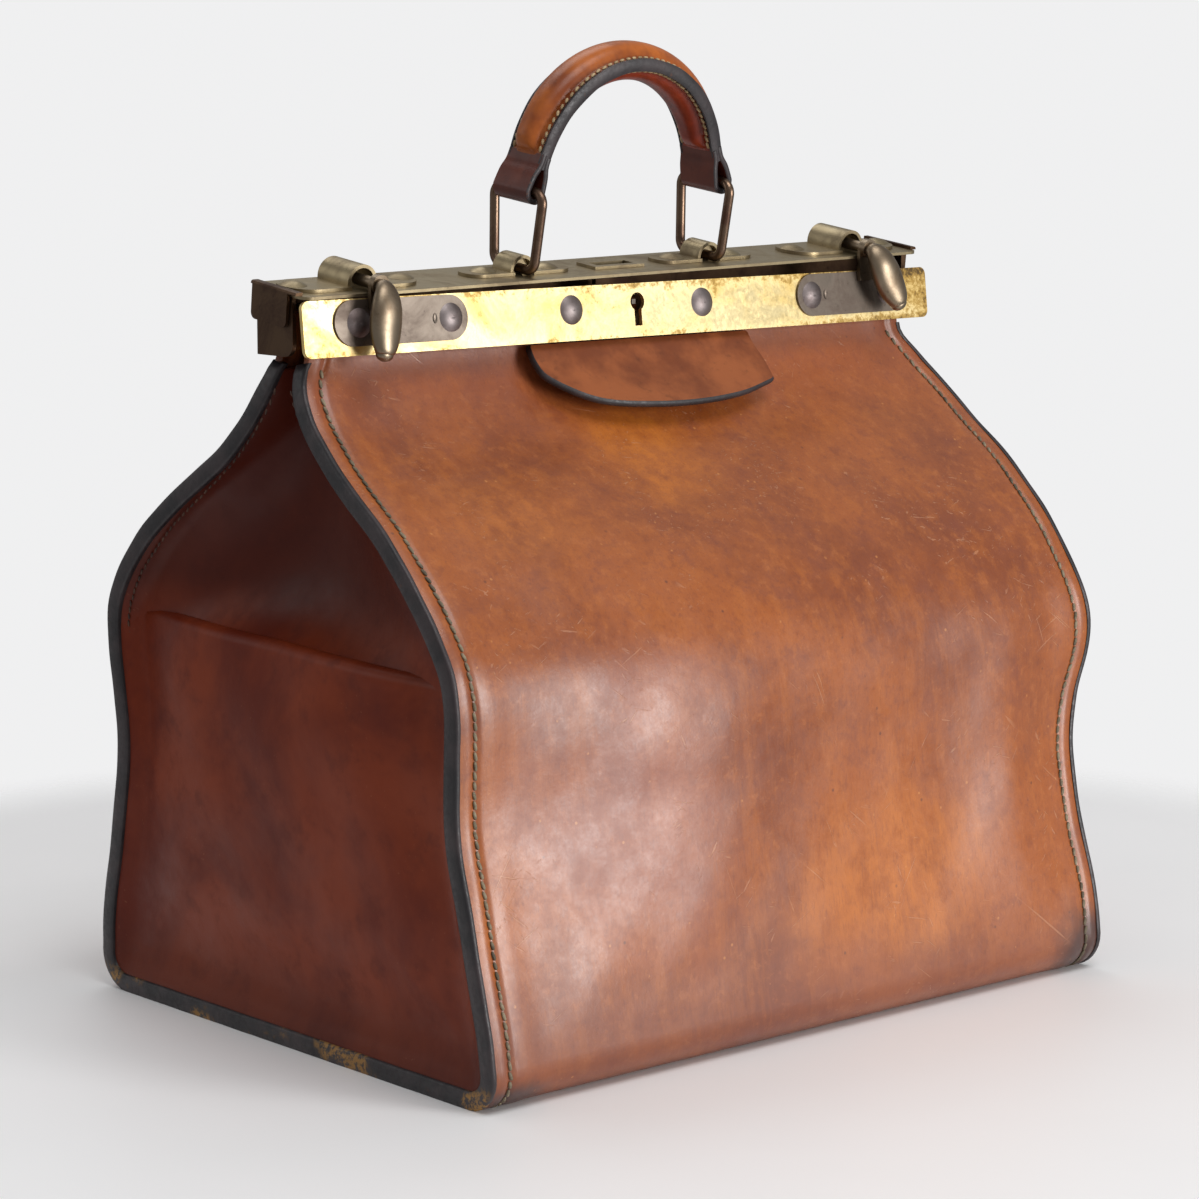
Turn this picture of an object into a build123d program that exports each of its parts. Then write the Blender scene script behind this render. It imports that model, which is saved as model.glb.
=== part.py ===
"""Doctor bag: a leather body on a hinged steel frame, with brass jaws, turn latches, a lock and a handle.

Frame: X along the mouth, +X to the right of a person facing the front; -Y is the front; +Z is up.
Origin: the middle of the base, on the surface the bag stands on. Millimetres.
"""

from build123d import *
from math import acos, atan2, cos, hypot, radians, sin
import os

os.makedirs("parts", exist_ok=True)

# ---- driving dimensions ----

# Leather body
BODY_HALF_LENGTH = 191.5
PANEL = 3.8  # thickness of the hide that runs front, bottom and back
GUSSET = 3.0  # thickness of the end panels
GUSSET_X = 184.0  # inner face of an end panel
BASE_HALF_DEPTH = 144.3
BASE_RADIUS = 17.0
FOLD_Y = 125.4  # the line at each shoulder about which a side folds
FOLD_Z = 172.0
FOLD_GAP = 2.0  # from the fold line to the hide on either side of it

# Mouth frame and jaws
JAW_HALF_LENGTH = 190.0
JAW_BOTTOM = 305.5
JAW_TOP = 330.0
HIDE_TOP = 327.0  # the hide's upper edge, clamped in a jaw
NECK_HALF_DEPTH = 12.6  # outer face of the hide where it enters the jaws
PIN_Z = 140.0  # hinge pins of the mouth frame
PIN_R = 2.0
PIN_HEAD_R = 3.6
EYE_HOLE = (13.0, 10.0)  # oval eye in a front arm: the pin wanders in it as the mouth opens
EYE_RIM = 3.5
BAR_THICK = 3.0  # steel of the frame's bars and arms
REAR_ARM_X = 149.0
FRONT_ARM_X = 145.0

# Top plate: leans down towards the front and towards the left
TOP_Z = 337.3  # upper face at the middle
TOP_TILT = 7.5
TOP_ROLL = -1.0
TOP_THICK = 1.3

# Hardware
RIVET_R = 6.7
RIVET_DOME = 2.0
SADDLE_RIVET_R = 6.2
FACE_RIVET_X = 40.0
LATCH_PLATE = 1.2  # thickness
LATCH_PLATE_ENDS = (101.0, 174.0)
LATCH_PLATE_RIVETS = (110.5, 161.0)
LATCH_PLATE_R = 10.0
DIMPLE_X = 119.5
LATCH_X = (-151.0, 146.0)
LATCH_LEAN = (10.0, 25.0)  # how far each finger leans outward
LATCH_AXIS_UP = 4.0  # latch axis above the top plate
LATCH_SADDLE_RIVET = 29.0
HANDLE_X = 57.0
HANDLE_SADDLE_RIVET = 18.0
WIRE_R = 2.25  # handle loops
LOOP_HEIGHT = 35.4  # between the centres of a loop's bottom and top bars
LOOP_BOTTOM_HALF = 14.0
LOOP_TOP_HALF = 17.25
RUNNING = 0.08  # radial clearance of a shaft in its bearing
TOUCH = 0.05  # air between pieces that lie on each other

# Half depth of the body against height, outer face of the hide, above the base radius
SHOULDER = (127.3, FOLD_Z)
SIDE_OUTLINE = [(BASE_HALF_DEPTH, BASE_RADIUS), (142, 36), (133.8, 70), (125.6, 106)]
SIDE_OUTLINE += [(123.3, 130), (126.4, 154), SHOULDER]
SHOULDER_OUTLINE = [SHOULDER, (122.8, 190), (105.1, 214), (78, 238)]
SHOULDER_OUTLINE += [(43, 262), (21, 284), (NECK_HALF_DEPTH, 302)]

JAW_TOP_FRAME = Location((0, 0, TOP_Z), (TOP_TILT, 0, 0)) * Location((0, 0, 0), (0, TOP_ROLL, 0))
SIDES = (("left", -1), ("right", 1))
PANEL_CUT_DEPTH = 14.0  # deep enough for a rivet hole to pass a jaw's packing and hide


def save(name, solids):
    """Writes one node; several solids become one compound."""
    solids = list(solids) if isinstance(solids, (list, tuple)) else [solids]
    flat = [s for item in solids for s in item.solids()]
    export_step(flat[0] if len(flat) == 1 else Compound(children=flat), f"parts/{name}.step")


def box(x0, x1, y0, y1, z0, z1):
    """A box between two corners."""
    return Pos((x0 + x1) / 2, (y0 + y1) / 2, (z0 + z1) / 2) * Box(x1 - x0, y1 - y0, z1 - z0)


def mirrored(outline):
    """The same outline on the other side, running back down."""
    return [(-y, z) for y, z in reversed(outline)]


def end_plane(x):
    """The plane across the bag at x: its own X is the bag's Y, its own Y is the bag's Z."""
    return Plane(origin=(x, 0, 0), x_dir=(0, 1, 0), z_dir=(1, 0, 0))


def inset(outline, amount):
    """Points of the outline moved towards the inside of the bag by amount, square to its curve."""
    curve = Spline(outline, tangents=[(0, 1), (0, 1)])
    count = 2 * len(outline)
    points = []
    for i in range(count + 1):
        place = curve @ (i / count)
        along = curve % (i / count)
        points.append((place.X - along.Y * amount, place.Y + along.X * amount))
    return points


def up_and_down(outline):
    """A smooth side through the outline, and its mirror image running back down."""
    return Spline(outline), Spline(mirrored(outline))


def lower_section(amount=0.0):
    """Cross-section of the body below the shoulders, inset by amount, closed well above them."""
    half = BASE_HALF_DEPTH - BASE_RADIUS
    side = inset(SIDE_OUTLINE, amount)
    low, high = side[0], side[-1]
    right_side, left_side = up_and_down(side)
    bend = BASE_RADIUS - amount
    edges = [
        Line((-half, amount), (half, amount)),
        RadiusArc((half, amount), low, -bend),
        right_side,
        Polyline(high, (high[0], 200), (-high[0], 200), (-high[0], high[1])),
        left_side,
        RadiusArc((-low[0], low[1]), (-half, amount), -bend),
    ]
    return make_face(edges)


def upper_section(amount=0.0):
    """Cross-section of the body above the shoulders, inset by amount and closed at both ends."""
    side = inset(SHOULDER_OUTLINE, amount)
    low, high = side[0], side[-1]
    right, left = up_and_down(side)
    edges = [
        right,
        Polyline(high, (high[0], 340), (-high[0], 340), (-high[0], high[1])),
        left,
        Polyline((-low[0], low[1]), (-low[0], 150), (low[0], 150), low),
    ]
    return make_face(edges)


def across(face, x0, x1):
    """A cross-section extruded from x0 to x1."""
    return extrude(end_plane(x0) * face, amount=x1 - x0)


def rivet(location, radius=RIVET_R, dome=RIVET_DOME, shank=1.6, depth=4.0):
    """A plain domed rivet head on a shank; the location's Z points out of the surface."""
    sphere_r = (radius**2 + dome**2) / (2 * dome)
    head = Pos(0, 0, dome - sphere_r) * Sphere(sphere_r) & Pos(0, 0, dome / 2) * Cylinder(radius, dome)
    stem = Pos(0, 0, -depth / 2 + 0.1) * Cylinder(shank, depth + 0.2)
    return location * (head + stem)


def drilled(solid, locations, radius=1.6, depth=9.0):
    """The solid with a rivet hole at each location."""
    for location in locations:
        solid = solid - location * Cylinder(radius + TOUCH, depth * 2)
    return solid


# ---- leather ----

hide_ring = lower_section() - lower_section(PANEL)
body_box = box(-200, 200, -150, 150, -1, FOLD_Z - FOLD_GAP)
save("body_leather", across(hide_ring, -BODY_HALF_LENGTH, BODY_HALF_LENGTH) & body_box)

inner = lower_section(PANEL + TOUCH)
flange_ring = inner - lower_section(PANEL + TOUCH + GUSSET)
for side, sign in SIDES:
    plate = across(inner, GUSSET_X, GUSSET_X + GUSSET)
    flange = across(flange_ring, GUSSET_X, BODY_HALF_LENGTH)
    gusset = (plate + flange) & body_box
    save(f"gusset_lower_{side}", gusset if sign > 0 else mirror(gusset, about=Plane.YZ))

save("bottom_board", box(-GUSSET_X + 1, GUSSET_X - 1, -124, 124, PANEL + TOUCH, PANEL + 3.2))

upper_ring = upper_section() - upper_section(PANEL)
upper_body = across(upper_ring, -BODY_HALF_LENGTH, BODY_HALF_LENGTH)
in_jaw = box(-200, 200, -30, 30, JAW_BOTTOM - 1.5, 400)
jaw_width = box(-182, 182, -30, 30, JAW_BOTTOM - 1.5, 400)
upper_body = (upper_body - in_jaw) + (upper_body & jaw_width)
front_half = box(-200, 200, -150, -1, FOLD_Z + FOLD_GAP, HIDE_TOP)
back_half = box(-200, 200, 1, 150, FOLD_Z + FOLD_GAP, HIDE_TOP)

HIDE_FRONT = -NECK_HALF_DEPTH  # outer face of the clamped hide at the front
face_tilt = Location((0, -19.5, (JAW_BOTTOM + JAW_TOP) / 2), (-6.5, 0, 0))
RIVET_Z = 319.5
LOCK_HOLE_R = 6.0  # hole behind the keyhole, through the packing and the hide


def on_face(x, z, lift=0.0):
    """A place on the face plate: Z points out of the plate, towards the front."""
    return face_tilt * Location((x, -1.0 - lift, z - (JAW_BOTTOM + JAW_TOP) / 2), (90, 0, 0))


face_rivet_places = [on_face(x, RIVET_Z) for x in (-FACE_RIVET_X, FACE_RIVET_X)]
latch_rivet_places = {}
for side, sign in SIDES:
    latch_rivet_places[side] = [on_face(sign * x, RIVET_Z, LATCH_PLATE) for x in LATCH_PLATE_RIVETS]
all_face_places = face_rivet_places + latch_rivet_places["left"] + latch_rivet_places["right"]
front_panel = drilled(upper_body & front_half, all_face_places, depth=PANEL_CUT_DEPTH)
save("front_panel_upper", front_panel - on_face(0, RIVET_Z) * Cylinder(LOCK_HOLE_R, 40))

back_rivet_places = [Location((x, 18.3, RIVET_Z), (-90, 0, 0)) for x in (-150, -90, -30, 30, 90, 150)]
save("back_panel_upper", drilled(upper_body & back_half, back_rivet_places, depth=PANEL_CUT_DEPTH))


def half_depth_inside(z):
    """Half the depth between the side panels at a height above the shoulders."""
    side = inset(SHOULDER_OUTLINE, PANEL)
    for (y0, z0), (y1, z1) in zip(side, side[1:]):
        if z0 <= z <= z1:
            return y0 + (y1 - y0) * (z - z0) / (z1 - z0)
    return side[-1][0]


def pleat(z, fold):
    """Outline of a folded end panel at one height: a V that opens outward."""
    x = GUSSET_X
    t = 2.4
    half_depth = half_depth_inside(z) - 2.2
    points = [(x + t, -half_depth), (x + t - fold, 0), (x + t, half_depth)]
    points += [(x, half_depth - 0.4), (x - fold, 0), (x, -half_depth + 0.4)]
    return Plane(origin=(0, 0, z)) * make_face(Polyline(points, close=True))


PLEAT_LOW = FOLD_Z + 0.5
PLEAT_HIGH = 300.0
PLEAT_STEPS = 12
FOLD_DEPTH = 28.0
heights = [PLEAT_LOW + (PLEAT_HIGH - PLEAT_LOW) * i / PLEAT_STEPS for i in range(PLEAT_STEPS + 1)]
folds = [0.5 + FOLD_DEPTH * i / PLEAT_STEPS for i in range(PLEAT_STEPS + 1)]
right_pleat = loft([pleat(z, fold) for z, fold in zip(heights, folds)], ruled=True)
save("gusset_upper_right", right_pleat)
save("gusset_upper_left", mirror(right_pleat, about=Plane.YZ))

# Leather tab hanging from under the lock, in front of the panel; its root is behind the face plate
TAB_THICK = 3.6
tab_left, tab_corner = (-63, 0), (71, -28)
tab_belly = [(-63.5, -9), (-60, -18), (-39, -31), (-12, -36), (18, -37), (46, -34.5)]
tab_outline = [
    Spline([tab_left] + tab_belly + [tab_corner]),
    Line(tab_corner, (71, 0)),
    Line((71, 0), tab_left),
]
tab_plane = Plane(origin=(0, 0, 0), x_dir=(1, 0, 0), z_dir=(0, -1, 0))
tab = extrude(tab_plane * make_face(tab_outline), amount=TAB_THICK)
tab_root = box(-58, 66, -19.3, -17.0, 302.0, 310)
save("lock_tab", Pos(0, -15.5, 302.4) * Rot(-40, 0, 0) * tab + tab_root)

# ---- front jaw ----

face_blank = Box(2 * JAW_HALF_LENGTH, 2.0, JAW_TOP - JAW_BOTTOM)
face_plate = face_tilt * fillet(face_blank.edges().filter_by(Axis.Y), 3.5)
face_plate = drilled(face_plate, all_face_places)
keyhole = on_face(0, RIVET_Z + 2) * Cylinder(4.2, 8) + on_face(0, RIVET_Z - 4) * Box(4.4, 10, 8)
face_plate = face_plate - keyhole
save("face_plate", face_plate)
save("face_rivets", [rivet(p, depth=10.5) for p in face_rivet_places])


def stadium(half_span, radius, thick):
    """A flat plate with round ends, lying on its own XY plane."""
    return extrude(SlotCenterToCenter(2 * half_span, 2 * radius), amount=thick)


for side, sign in SIDES:
    middle = sign * sum(LATCH_PLATE_ENDS) / 2
    half_span = (LATCH_PLATE_ENDS[1] - LATCH_PLATE_ENDS[0]) / 2 - LATCH_PLATE_R
    plate = on_face(middle, RIVET_Z, TOUCH) * stadium(half_span, LATCH_PLATE_R, LATCH_PLATE - 2 * TOUCH)
    dimple = on_face(sign * DIMPLE_X, RIVET_Z, LATCH_PLATE + 1.4) * scale(Sphere(1), (2.1, 3.6, 1.9))
    plate = drilled(plate, latch_rivet_places[side]) - dimple
    save(f"latch_plate_{side}", plate)
both_ends = latch_rivet_places["left"] + latch_rivet_places["right"]
save("latch_plate_rivets", [rivet(p, radius=6.4, depth=11.0) for p in both_ends])

# Steel frame: a flat bar behind the face with two arms down to the hinge pins
BAR = (308.5, 326.5)
ARM_HALF_WIDTH = 4.0


def frame_half(arm_x, y0, y1, eye):
    """One half of the mouth frame: a bar from y0 to y1 and two arms, their inner faces at arm_x."""
    bar = box(-arm_x - BAR_THICK, arm_x + BAR_THICK, y0, y1, *BAR)
    top_y = (y0 + y1) / 2 * 0.88  # the arms lean a little towards the middle of their bar
    top_z = BAR[0] + 4
    half = ARM_HALF_WIDTH
    corners = [(-half, PIN_Z), (half, PIN_Z), (top_y + 1.4, top_z), (top_y - 1.4, top_z)]
    strip = make_face(Polyline(corners, close=True))
    if eye:
        pad = Ellipse(EYE_HOLE[0] + EYE_RIM, EYE_HOLE[1] + EYE_RIM)
        hole = Ellipse(*EYE_HOLE)
    else:
        pad = Circle(6.5)
        hole = Circle(PIN_R + TOUCH)
    blade = (strip + Pos(0, PIN_Z) * pad) - Pos(0, PIN_Z) * hole
    arms = [extrude(end_plane(x) * blade, amount=BAR_THICK) for x in (arm_x, -arm_x - BAR_THICK)]
    return bar + arms[0] + arms[1]


FRONT_BAR = (-8.5, -5.5)
front_frame = drilled(frame_half(FRONT_ARM_X, *FRONT_BAR, eye=True), all_face_places, depth=20)
save("front_frame", front_frame)
REAR_BAR = (5.5, 8.5)
rear_frame = drilled(frame_half(REAR_ARM_X, *REAR_BAR, eye=False), back_rivet_places, depth=20)
save("rear_frame", rear_frame)

pin = Rot(0, 90, 0) * Cylinder(PIN_R, 12.0)
for x in (-6.4, 6.4):
    pin = pin + Pos(x, 0, 0) * Rot(0, 90, 0) * Cylinder(PIN_HEAD_R, 1.2)
pin_x = (FRONT_ARM_X + REAR_ARM_X + BAR_THICK) / 2
save("hinge_pins", [Pos(sign * pin_x, 0, PIN_Z) * pin for side, sign in SIDES])

# Packing strip between the face plate and the hide
packing = box(-176, 176, -16.9, HIDE_FRONT - TOUCH, 311, 326)
packing = drilled(packing, all_face_places, depth=PANEL_CUT_DEPTH)
save("packing_strip", packing - on_face(0, RIVET_Z) * Cylinder(LOCK_HOLE_R, 30))

# Lock: an open-topped case on the frame, a bolt that rises into the keeper, and the pin the key turns on
case_outer = box(-23, 23, -5.4, 2.4, 309.5, 327)
case_inner = box(-21.8, 21.8, -4.2, 1.2, 310.7, 328)
save("lock_case", case_outer - case_inner)
bolt = box(-10, 10, -2.6, 0.2, 312, 331.5) - box(-4, 4, -3, 1, 312, 318)
save("lock_bolt", bolt)
save("lock_pin", box(-1.1, 1.1, -17.5, -8.6, RIVET_Z + 0.9, RIVET_Z + 3.1))

# ---- rear jaw ----

SHELL_ENDS = (-188.0, 185.0)
back_plate = box(*SHELL_ENDS, 16.4, 18.2, JAW_BOTTOM, 342)
ends = [box(x0, x0 + 2, -10, 16.4, JAW_BOTTOM, 342) for x0 in (SHELL_ENDS[0], SHELL_ENDS[1] - 2)]
shell = back_plate + ends[0] + ends[1]
upright = shell.edges().filter_by(Axis.Z)
back_corners = [e for e in upright if e.center().Y > 18 and abs(e.center().X) > 184]
shell = fillet(back_corners, 3.5)
lengthwise = shell.edges().filter_by(Axis.X)
feet = [e for e in lengthwise if e.center().Y < -9 and e.center().Z < JAW_BOTTOM + 1]
shell = fillet(feet, 6.0)
underside = JAW_TOP_FRAME * box(-260, 260, -80, 80, -TOP_THICK - TOUCH, 60)
shell = drilled(shell - underside, back_rivet_places)
save("rear_jaw_shell", shell)
rear_packing = box(-176, 176, NECK_HALF_DEPTH + TOUCH, 16.35, 309, 326)
save("rear_packing_strip", drilled(rear_packing, back_rivet_places, depth=PANEL_CUT_DEPTH))
save("back_rivets", [rivet(p, radius=4.2, dome=1.5, depth=10.0) for p in back_rivet_places])

TOP_FRONT = -19.6
TOP_BACK = 19.0
top_blank = box(*SHELL_ENDS, TOP_FRONT, TOP_BACK, -TOP_THICK, 0)
top_blank = fillet(top_blank.edges().filter_by(Axis.Z), 5.0)
handle_rivet_steps = (-HANDLE_SADDLE_RIVET, HANDLE_SADDLE_RIVET)
handle_rivet_x = [sign * HANDLE_X + step for sign in (-1, 1) for step in handle_rivet_steps]
latch_rivet_x = [x + d for x in LATCH_X for d in (-LATCH_SADDLE_RIVET, LATCH_SADDLE_RIVET)]
STRAP = 1.5  # thickness of a saddle strap
rivet_seat = STRAP + 2 * TOUCH
handle_rivet_places = [Location((x, 0, rivet_seat)) for x in handle_rivet_x]
latch_saddle_places = [Location((x, 0, rivet_seat)) for x in latch_rivet_x]
keeper_slot = box(-11, 11, -4.4, 2.0, -4, 1)
top_plate = drilled(top_blank, handle_rivet_places + latch_saddle_places, radius=1.9) - keeper_slot
save("top_plate", JAW_TOP_FRAME * top_plate)
keeper = box(-15, 15, -8.0, 5.4, TOUCH, 1.4) - box(-11, 11, -4.4, 2.0, -1, 3)
save("lock_keeper", JAW_TOP_FRAME * keeper)

# Corner caps folded over the ends of the top plate
CAP = 1.6
caps = []
for end, sign in zip(SHELL_ENDS, (-1, 1)):
    outside = end + sign * (CAP + 0.4)
    inside = end - sign * 1.7
    lid = box(min(outside, inside), max(outside, inside), TOP_FRONT + 4, TOP_BACK - 2, TOUCH, 1.5)
    near = end + sign * 0.4
    drop = box(min(outside, near), max(outside, near), TOP_FRONT + 10, TOP_BACK - 3, -15, 1.5)
    cap = lid + drop
    cap = fillet([e for e in cap.edges().filter_by(Axis.X) if e.center().Z < -14], 3.0)
    top_edges = [e for e in cap.edges().filter_by(Axis.Y) if e.center().Z > 1.4]
    ridge = [e for e in top_edges if abs(e.center().X - outside) < 0.1]
    caps.append(JAW_TOP_FRAME * fillet(ridge, 1.2))
save("corner_caps", caps)


def saddle(half_length, half_width, arch_r, arch_up, rivet_x):
    """A strap with round ends and a raised arch across its middle; it lies on its own XY plane."""
    base = extrude(SlotOverall(2 * half_length, 2 * half_width), amount=STRAP)
    outer = Pos(0, 0, arch_up) * Rot(90, 0, 0) * Cylinder(arch_r + STRAP, 2 * half_width - 3)
    legs = box(-arch_r - STRAP, arch_r + STRAP, 1.5 - half_width, half_width - 1.5, 0, arch_up)
    tunnel = Pos(0, 0, arch_up) * Rot(90, 0, 0) * Cylinder(arch_r, 60)
    below = box(-arch_r, arch_r, -30, 30, -5, arch_up)
    strap = (base + ((outer + legs) & box(-60, 60, -40, 40, 0, 60))) - tunnel - below
    return drilled(strap, [Location((x, 0, 0)) for x in rivet_x])


LOOP_UP = WIRE_R + 0.4  # loop's bottom bar above the top plate
handle_saddle = saddle(30, 8, 5.6, 1.8, (-HANDLE_SADDLE_RIVET, HANDLE_SADDLE_RIVET))
bush = Pos(0, 0, 1.8) * Rot(90, 0, 0) * Cylinder(6.4, 7) & box(-7, 7, -3.5, 3.5, 0, 20)
bore_r = WIRE_R + RUNNING
bush = bush - Pos(0, 0, LOOP_UP) * Rot(90, 0, 0) * Cylinder(bore_r, 20)
bush = bush - box(-bore_r, bore_r, -9, 9, -1, LOOP_UP)
handle_saddle = handle_saddle + bush
for side, sign in SIDES:
    save(f"handle_saddle_{side}", JAW_TOP_FRAME * Pos(sign * HANDLE_X, 0, TOUCH) * handle_saddle)
handle_rivets = [rivet(p, radius=SADDLE_RIVET_R, depth=6) for p in handle_rivet_places]
save("handle_saddle_rivets", [JAW_TOP_FRAME * one for one in handle_rivets])

latch_saddle = saddle(35, 12.5, 6.4, 2.8, (-LATCH_SADDLE_RIVET, LATCH_SADDLE_RIVET))
for (side, sign), x in zip(SIDES, LATCH_X):
    save(f"latch_saddle_{side}", JAW_TOP_FRAME * Pos(x, 0, TOUCH) * latch_saddle)
latch_rivets = [rivet(p, radius=SADDLE_RIVET_R, depth=6) for p in latch_saddle_places]
save("latch_saddle_rivets", [JAW_TOP_FRAME * one for one in latch_rivets])

# ---- latches: a stem along Y under the arch, a finger that hangs in front of the face plate ----

STEM_R = 2.6
EYE = (-24.2, -20.6)  # front and back faces of the eye that carries the stem
FINGER_HANG = 76.0  # direction of the hanging finger: 0 is straight forward, 90 square to the top plate
FINGER_OUT = -29.6  # where the finger's middle line leaves its bend
TIP = 25.0  # from there to the tip


def section(y, z, heading, half_width, half_thick):
    """An oval section of a finger whose middle line runs along heading, in degrees down from forward."""
    a = radians(heading)
    plane = Plane(origin=(0, y, z), x_dir=(1, 0, 0), z_dir=(0, -cos(a), -sin(a)))
    return plane * Ellipse(half_width, half_thick)


def hanging(distance, half_width, half_thick):
    """A section of the straight part of the finger, at a distance below its bend."""
    a = radians(FINGER_HANG)
    out = FINGER_OUT - distance * cos(a)
    return section(out, -4 - distance * sin(a), FINGER_HANG, half_width, half_thick)


def finger():
    """The latch, in a frame whose origin is on its turning axis."""
    bend = section(-24.4, 0, 0, 3.4, 2.6), section(-27.4, -0.9, 38, 5.0, 3.2)
    blade = hanging(0, 6.6, 3.8), hanging(9, 8.2, 4.5), hanging(18, 7.4, 4.2), hanging(TIP, 4.4, 3.0)
    end = radians(FINGER_HANG)
    tip_y = FINGER_OUT - TIP * cos(end)
    tip_z = -4.0 - TIP * sin(end)
    tip = Pos(0, tip_y, tip_z) * Rot(FINGER_HANG - 90, 0, 0) * scale(Sphere(1), (4.4, 3.0, 3.0))
    stem = Pos(0, -15.5, 0) * Rot(90, 0, 0) * Cylinder(STEM_R, 18.0)
    tongue = box(-3, 3, -7.0, 3, -1.2, 1.2)
    return loft([*bend, *blade]) + tip + stem + tongue


for (side, sign), x, lean in zip(SIDES, LATCH_X, LATCH_LEAN):
    place = JAW_TOP_FRAME * Pos(x, 0, LATCH_AXIS_UP)
    save(f"latch_{side}", place * Rot(0, -sign * lean, 0) * finger())
    eye = place * Pos(0, (EYE[0] + EYE[1]) / 2, 0) * Rot(90, 0, 0) * Cylinder(4.5, EYE[1] - EYE[0])
    foot = on_face(x, 327.0, LATCH_PLATE + TOUCH) * box(-4.5, 4.5, -2.0, 5.0, 0.1, 1.9)
    neck = box(x - 4.5, x + 4.5, -22.6, -20.9, 329.0, place.position.Z - 3.0)
    bore = place * Rot(90, 0, 0) * Cylinder(STEM_R + RUNNING, 80)
    save(f"latch_bracket_{side}", (eye + foot + neck) - bore)

# ---- handle ----

LOOP_Z = TOUCH + LOOP_UP


def loop():
    """A closed trapezoid of round wire across X, its bottom bar centred on the origin."""
    bend = 5.0
    low, high, top = LOOP_BOTTOM_HALF, LOOP_TOP_HALF, LOOP_HEIGHT
    corners = Polyline([(-low, 0), (low, 0), (high, top), (-high, top)], close=True)
    path = fillet(corners.vertices(), bend)
    wire = end_plane(0) * path
    start = Plane(origin=(0, 0, 0), x_dir=(1, 0, 0), z_dir=(0, 1, 0))
    return sweep(start * Circle(WIRE_R), path=wire)


loop_solid = loop()
for side, sign in SIDES:
    save(f"handle_loop_{side}", JAW_TOP_FRAME * Pos(sign * HANDLE_X, 0, LOOP_Z) * loop_solid)

HANDLE_LOW = LOOP_Z + LOOP_HEIGHT  # height of the handle's pivots
ARCH_R = 53.0  # middle line of the grip
ARCH_CENTRE_UP = 3.0  # its centre, above the pivots
WRAP_R = 8.6  # fold of the leather round a loop's top bar
LAYER = 9.5  # half thickness of the handle
SEAM = 0.05

# Each leg runs from its pivot to touch the arch; leg_turn is where on the arch it does
leg_turn = acos(ARCH_R / hypot(HANDLE_X, ARCH_CENTRE_UP)) - atan2(ARCH_CENTRE_UP, HANDLE_X)
leg_x = ARCH_R * cos(leg_turn)
leg_z = ARCH_CENTRE_UP + ARCH_R * sin(leg_turn)
side_view = Plane(origin=(0, 0, HANDLE_LOW), x_dir=(1, 0, 0), z_dir=(0, -1, 0))
legs_and_arch = [
    Line((-HANDLE_X, 0), (-leg_x, leg_z)),
    ThreePointArc((-leg_x, leg_z), (0, ARCH_CENTRE_UP + ARCH_R), (leg_x, leg_z)),
    Line((leg_x, leg_z), (HANDLE_X, 0)),
]
middle_line = side_view * Wire(legs_and_arch)


def handle_layer(low, high, half_width):
    """One layer of the handle: a flat section carried along the middle line, from low to high above it."""
    foot = middle_line @ 0
    along = middle_line % 0
    start = Plane(origin=foot, x_dir=(0, 1, 0), z_dir=along)
    section_at = start * Pos(0, (low + high) / 2) * Rectangle(2 * half_width, high - low)
    return sweep(section_at, path=middle_line)


def without_feet(solid):
    """The solid cut back where the straps fold round the loops."""
    for sign in (-1, 1):
        solid = solid - Pos(sign * HANDLE_X, 0, HANDLE_LOW) * Rot(90, 0, 0) * Cylinder(WRAP_R + TOUCH, 80)
    return solid


core = handle_layer(-5.5, 5.5, 8.5)
sleeve = handle_layer(-5.55, 5.55, 8.55)
save("handle_core", JAW_TOP_FRAME * without_feet(core))
for name, low, high in (("upper", SEAM, LAYER), ("lower", -LAYER, 0.0)):
    layer = handle_layer(low, high, 13.5) - sleeve
    save(f"handle_leather_{name}", JAW_TOP_FRAME * without_feet(layer))
for side, sign in SIDES:
    pivot = Pos(sign * HANDLE_X, 0, HANDLE_LOW) * Rot(90, 0, 0)
    wrap = pivot * Cylinder(WRAP_R, 25.0) - pivot * Cylinder(WIRE_R + RUNNING, 80)
    save(f"handle_strap_{side}", JAW_TOP_FRAME * wrap)
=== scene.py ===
"""Looks of the doctor bag: sewn leather, painted edges, thread, handle, metal, floor, light and camera.

Lengths below are in millimetres in the frame of the CAD model, and become metres when a mesh is made.
"""

import math

import bpy
import numpy as np
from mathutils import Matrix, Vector


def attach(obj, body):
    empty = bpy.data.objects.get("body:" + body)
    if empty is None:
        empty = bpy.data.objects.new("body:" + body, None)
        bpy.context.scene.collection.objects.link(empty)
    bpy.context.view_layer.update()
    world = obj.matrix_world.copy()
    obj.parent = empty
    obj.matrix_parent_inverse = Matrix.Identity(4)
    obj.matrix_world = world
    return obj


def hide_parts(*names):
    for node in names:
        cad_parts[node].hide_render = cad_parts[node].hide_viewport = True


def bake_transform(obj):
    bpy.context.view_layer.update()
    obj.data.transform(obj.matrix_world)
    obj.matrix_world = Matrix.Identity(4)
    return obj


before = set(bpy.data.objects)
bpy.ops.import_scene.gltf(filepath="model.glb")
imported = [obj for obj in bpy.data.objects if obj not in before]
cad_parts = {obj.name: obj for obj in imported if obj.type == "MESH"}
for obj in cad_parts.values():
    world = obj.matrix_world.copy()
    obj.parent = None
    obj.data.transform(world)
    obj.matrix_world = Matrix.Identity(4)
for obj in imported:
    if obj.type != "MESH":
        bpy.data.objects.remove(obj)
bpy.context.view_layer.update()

# ---- shape of the leather ----

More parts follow.
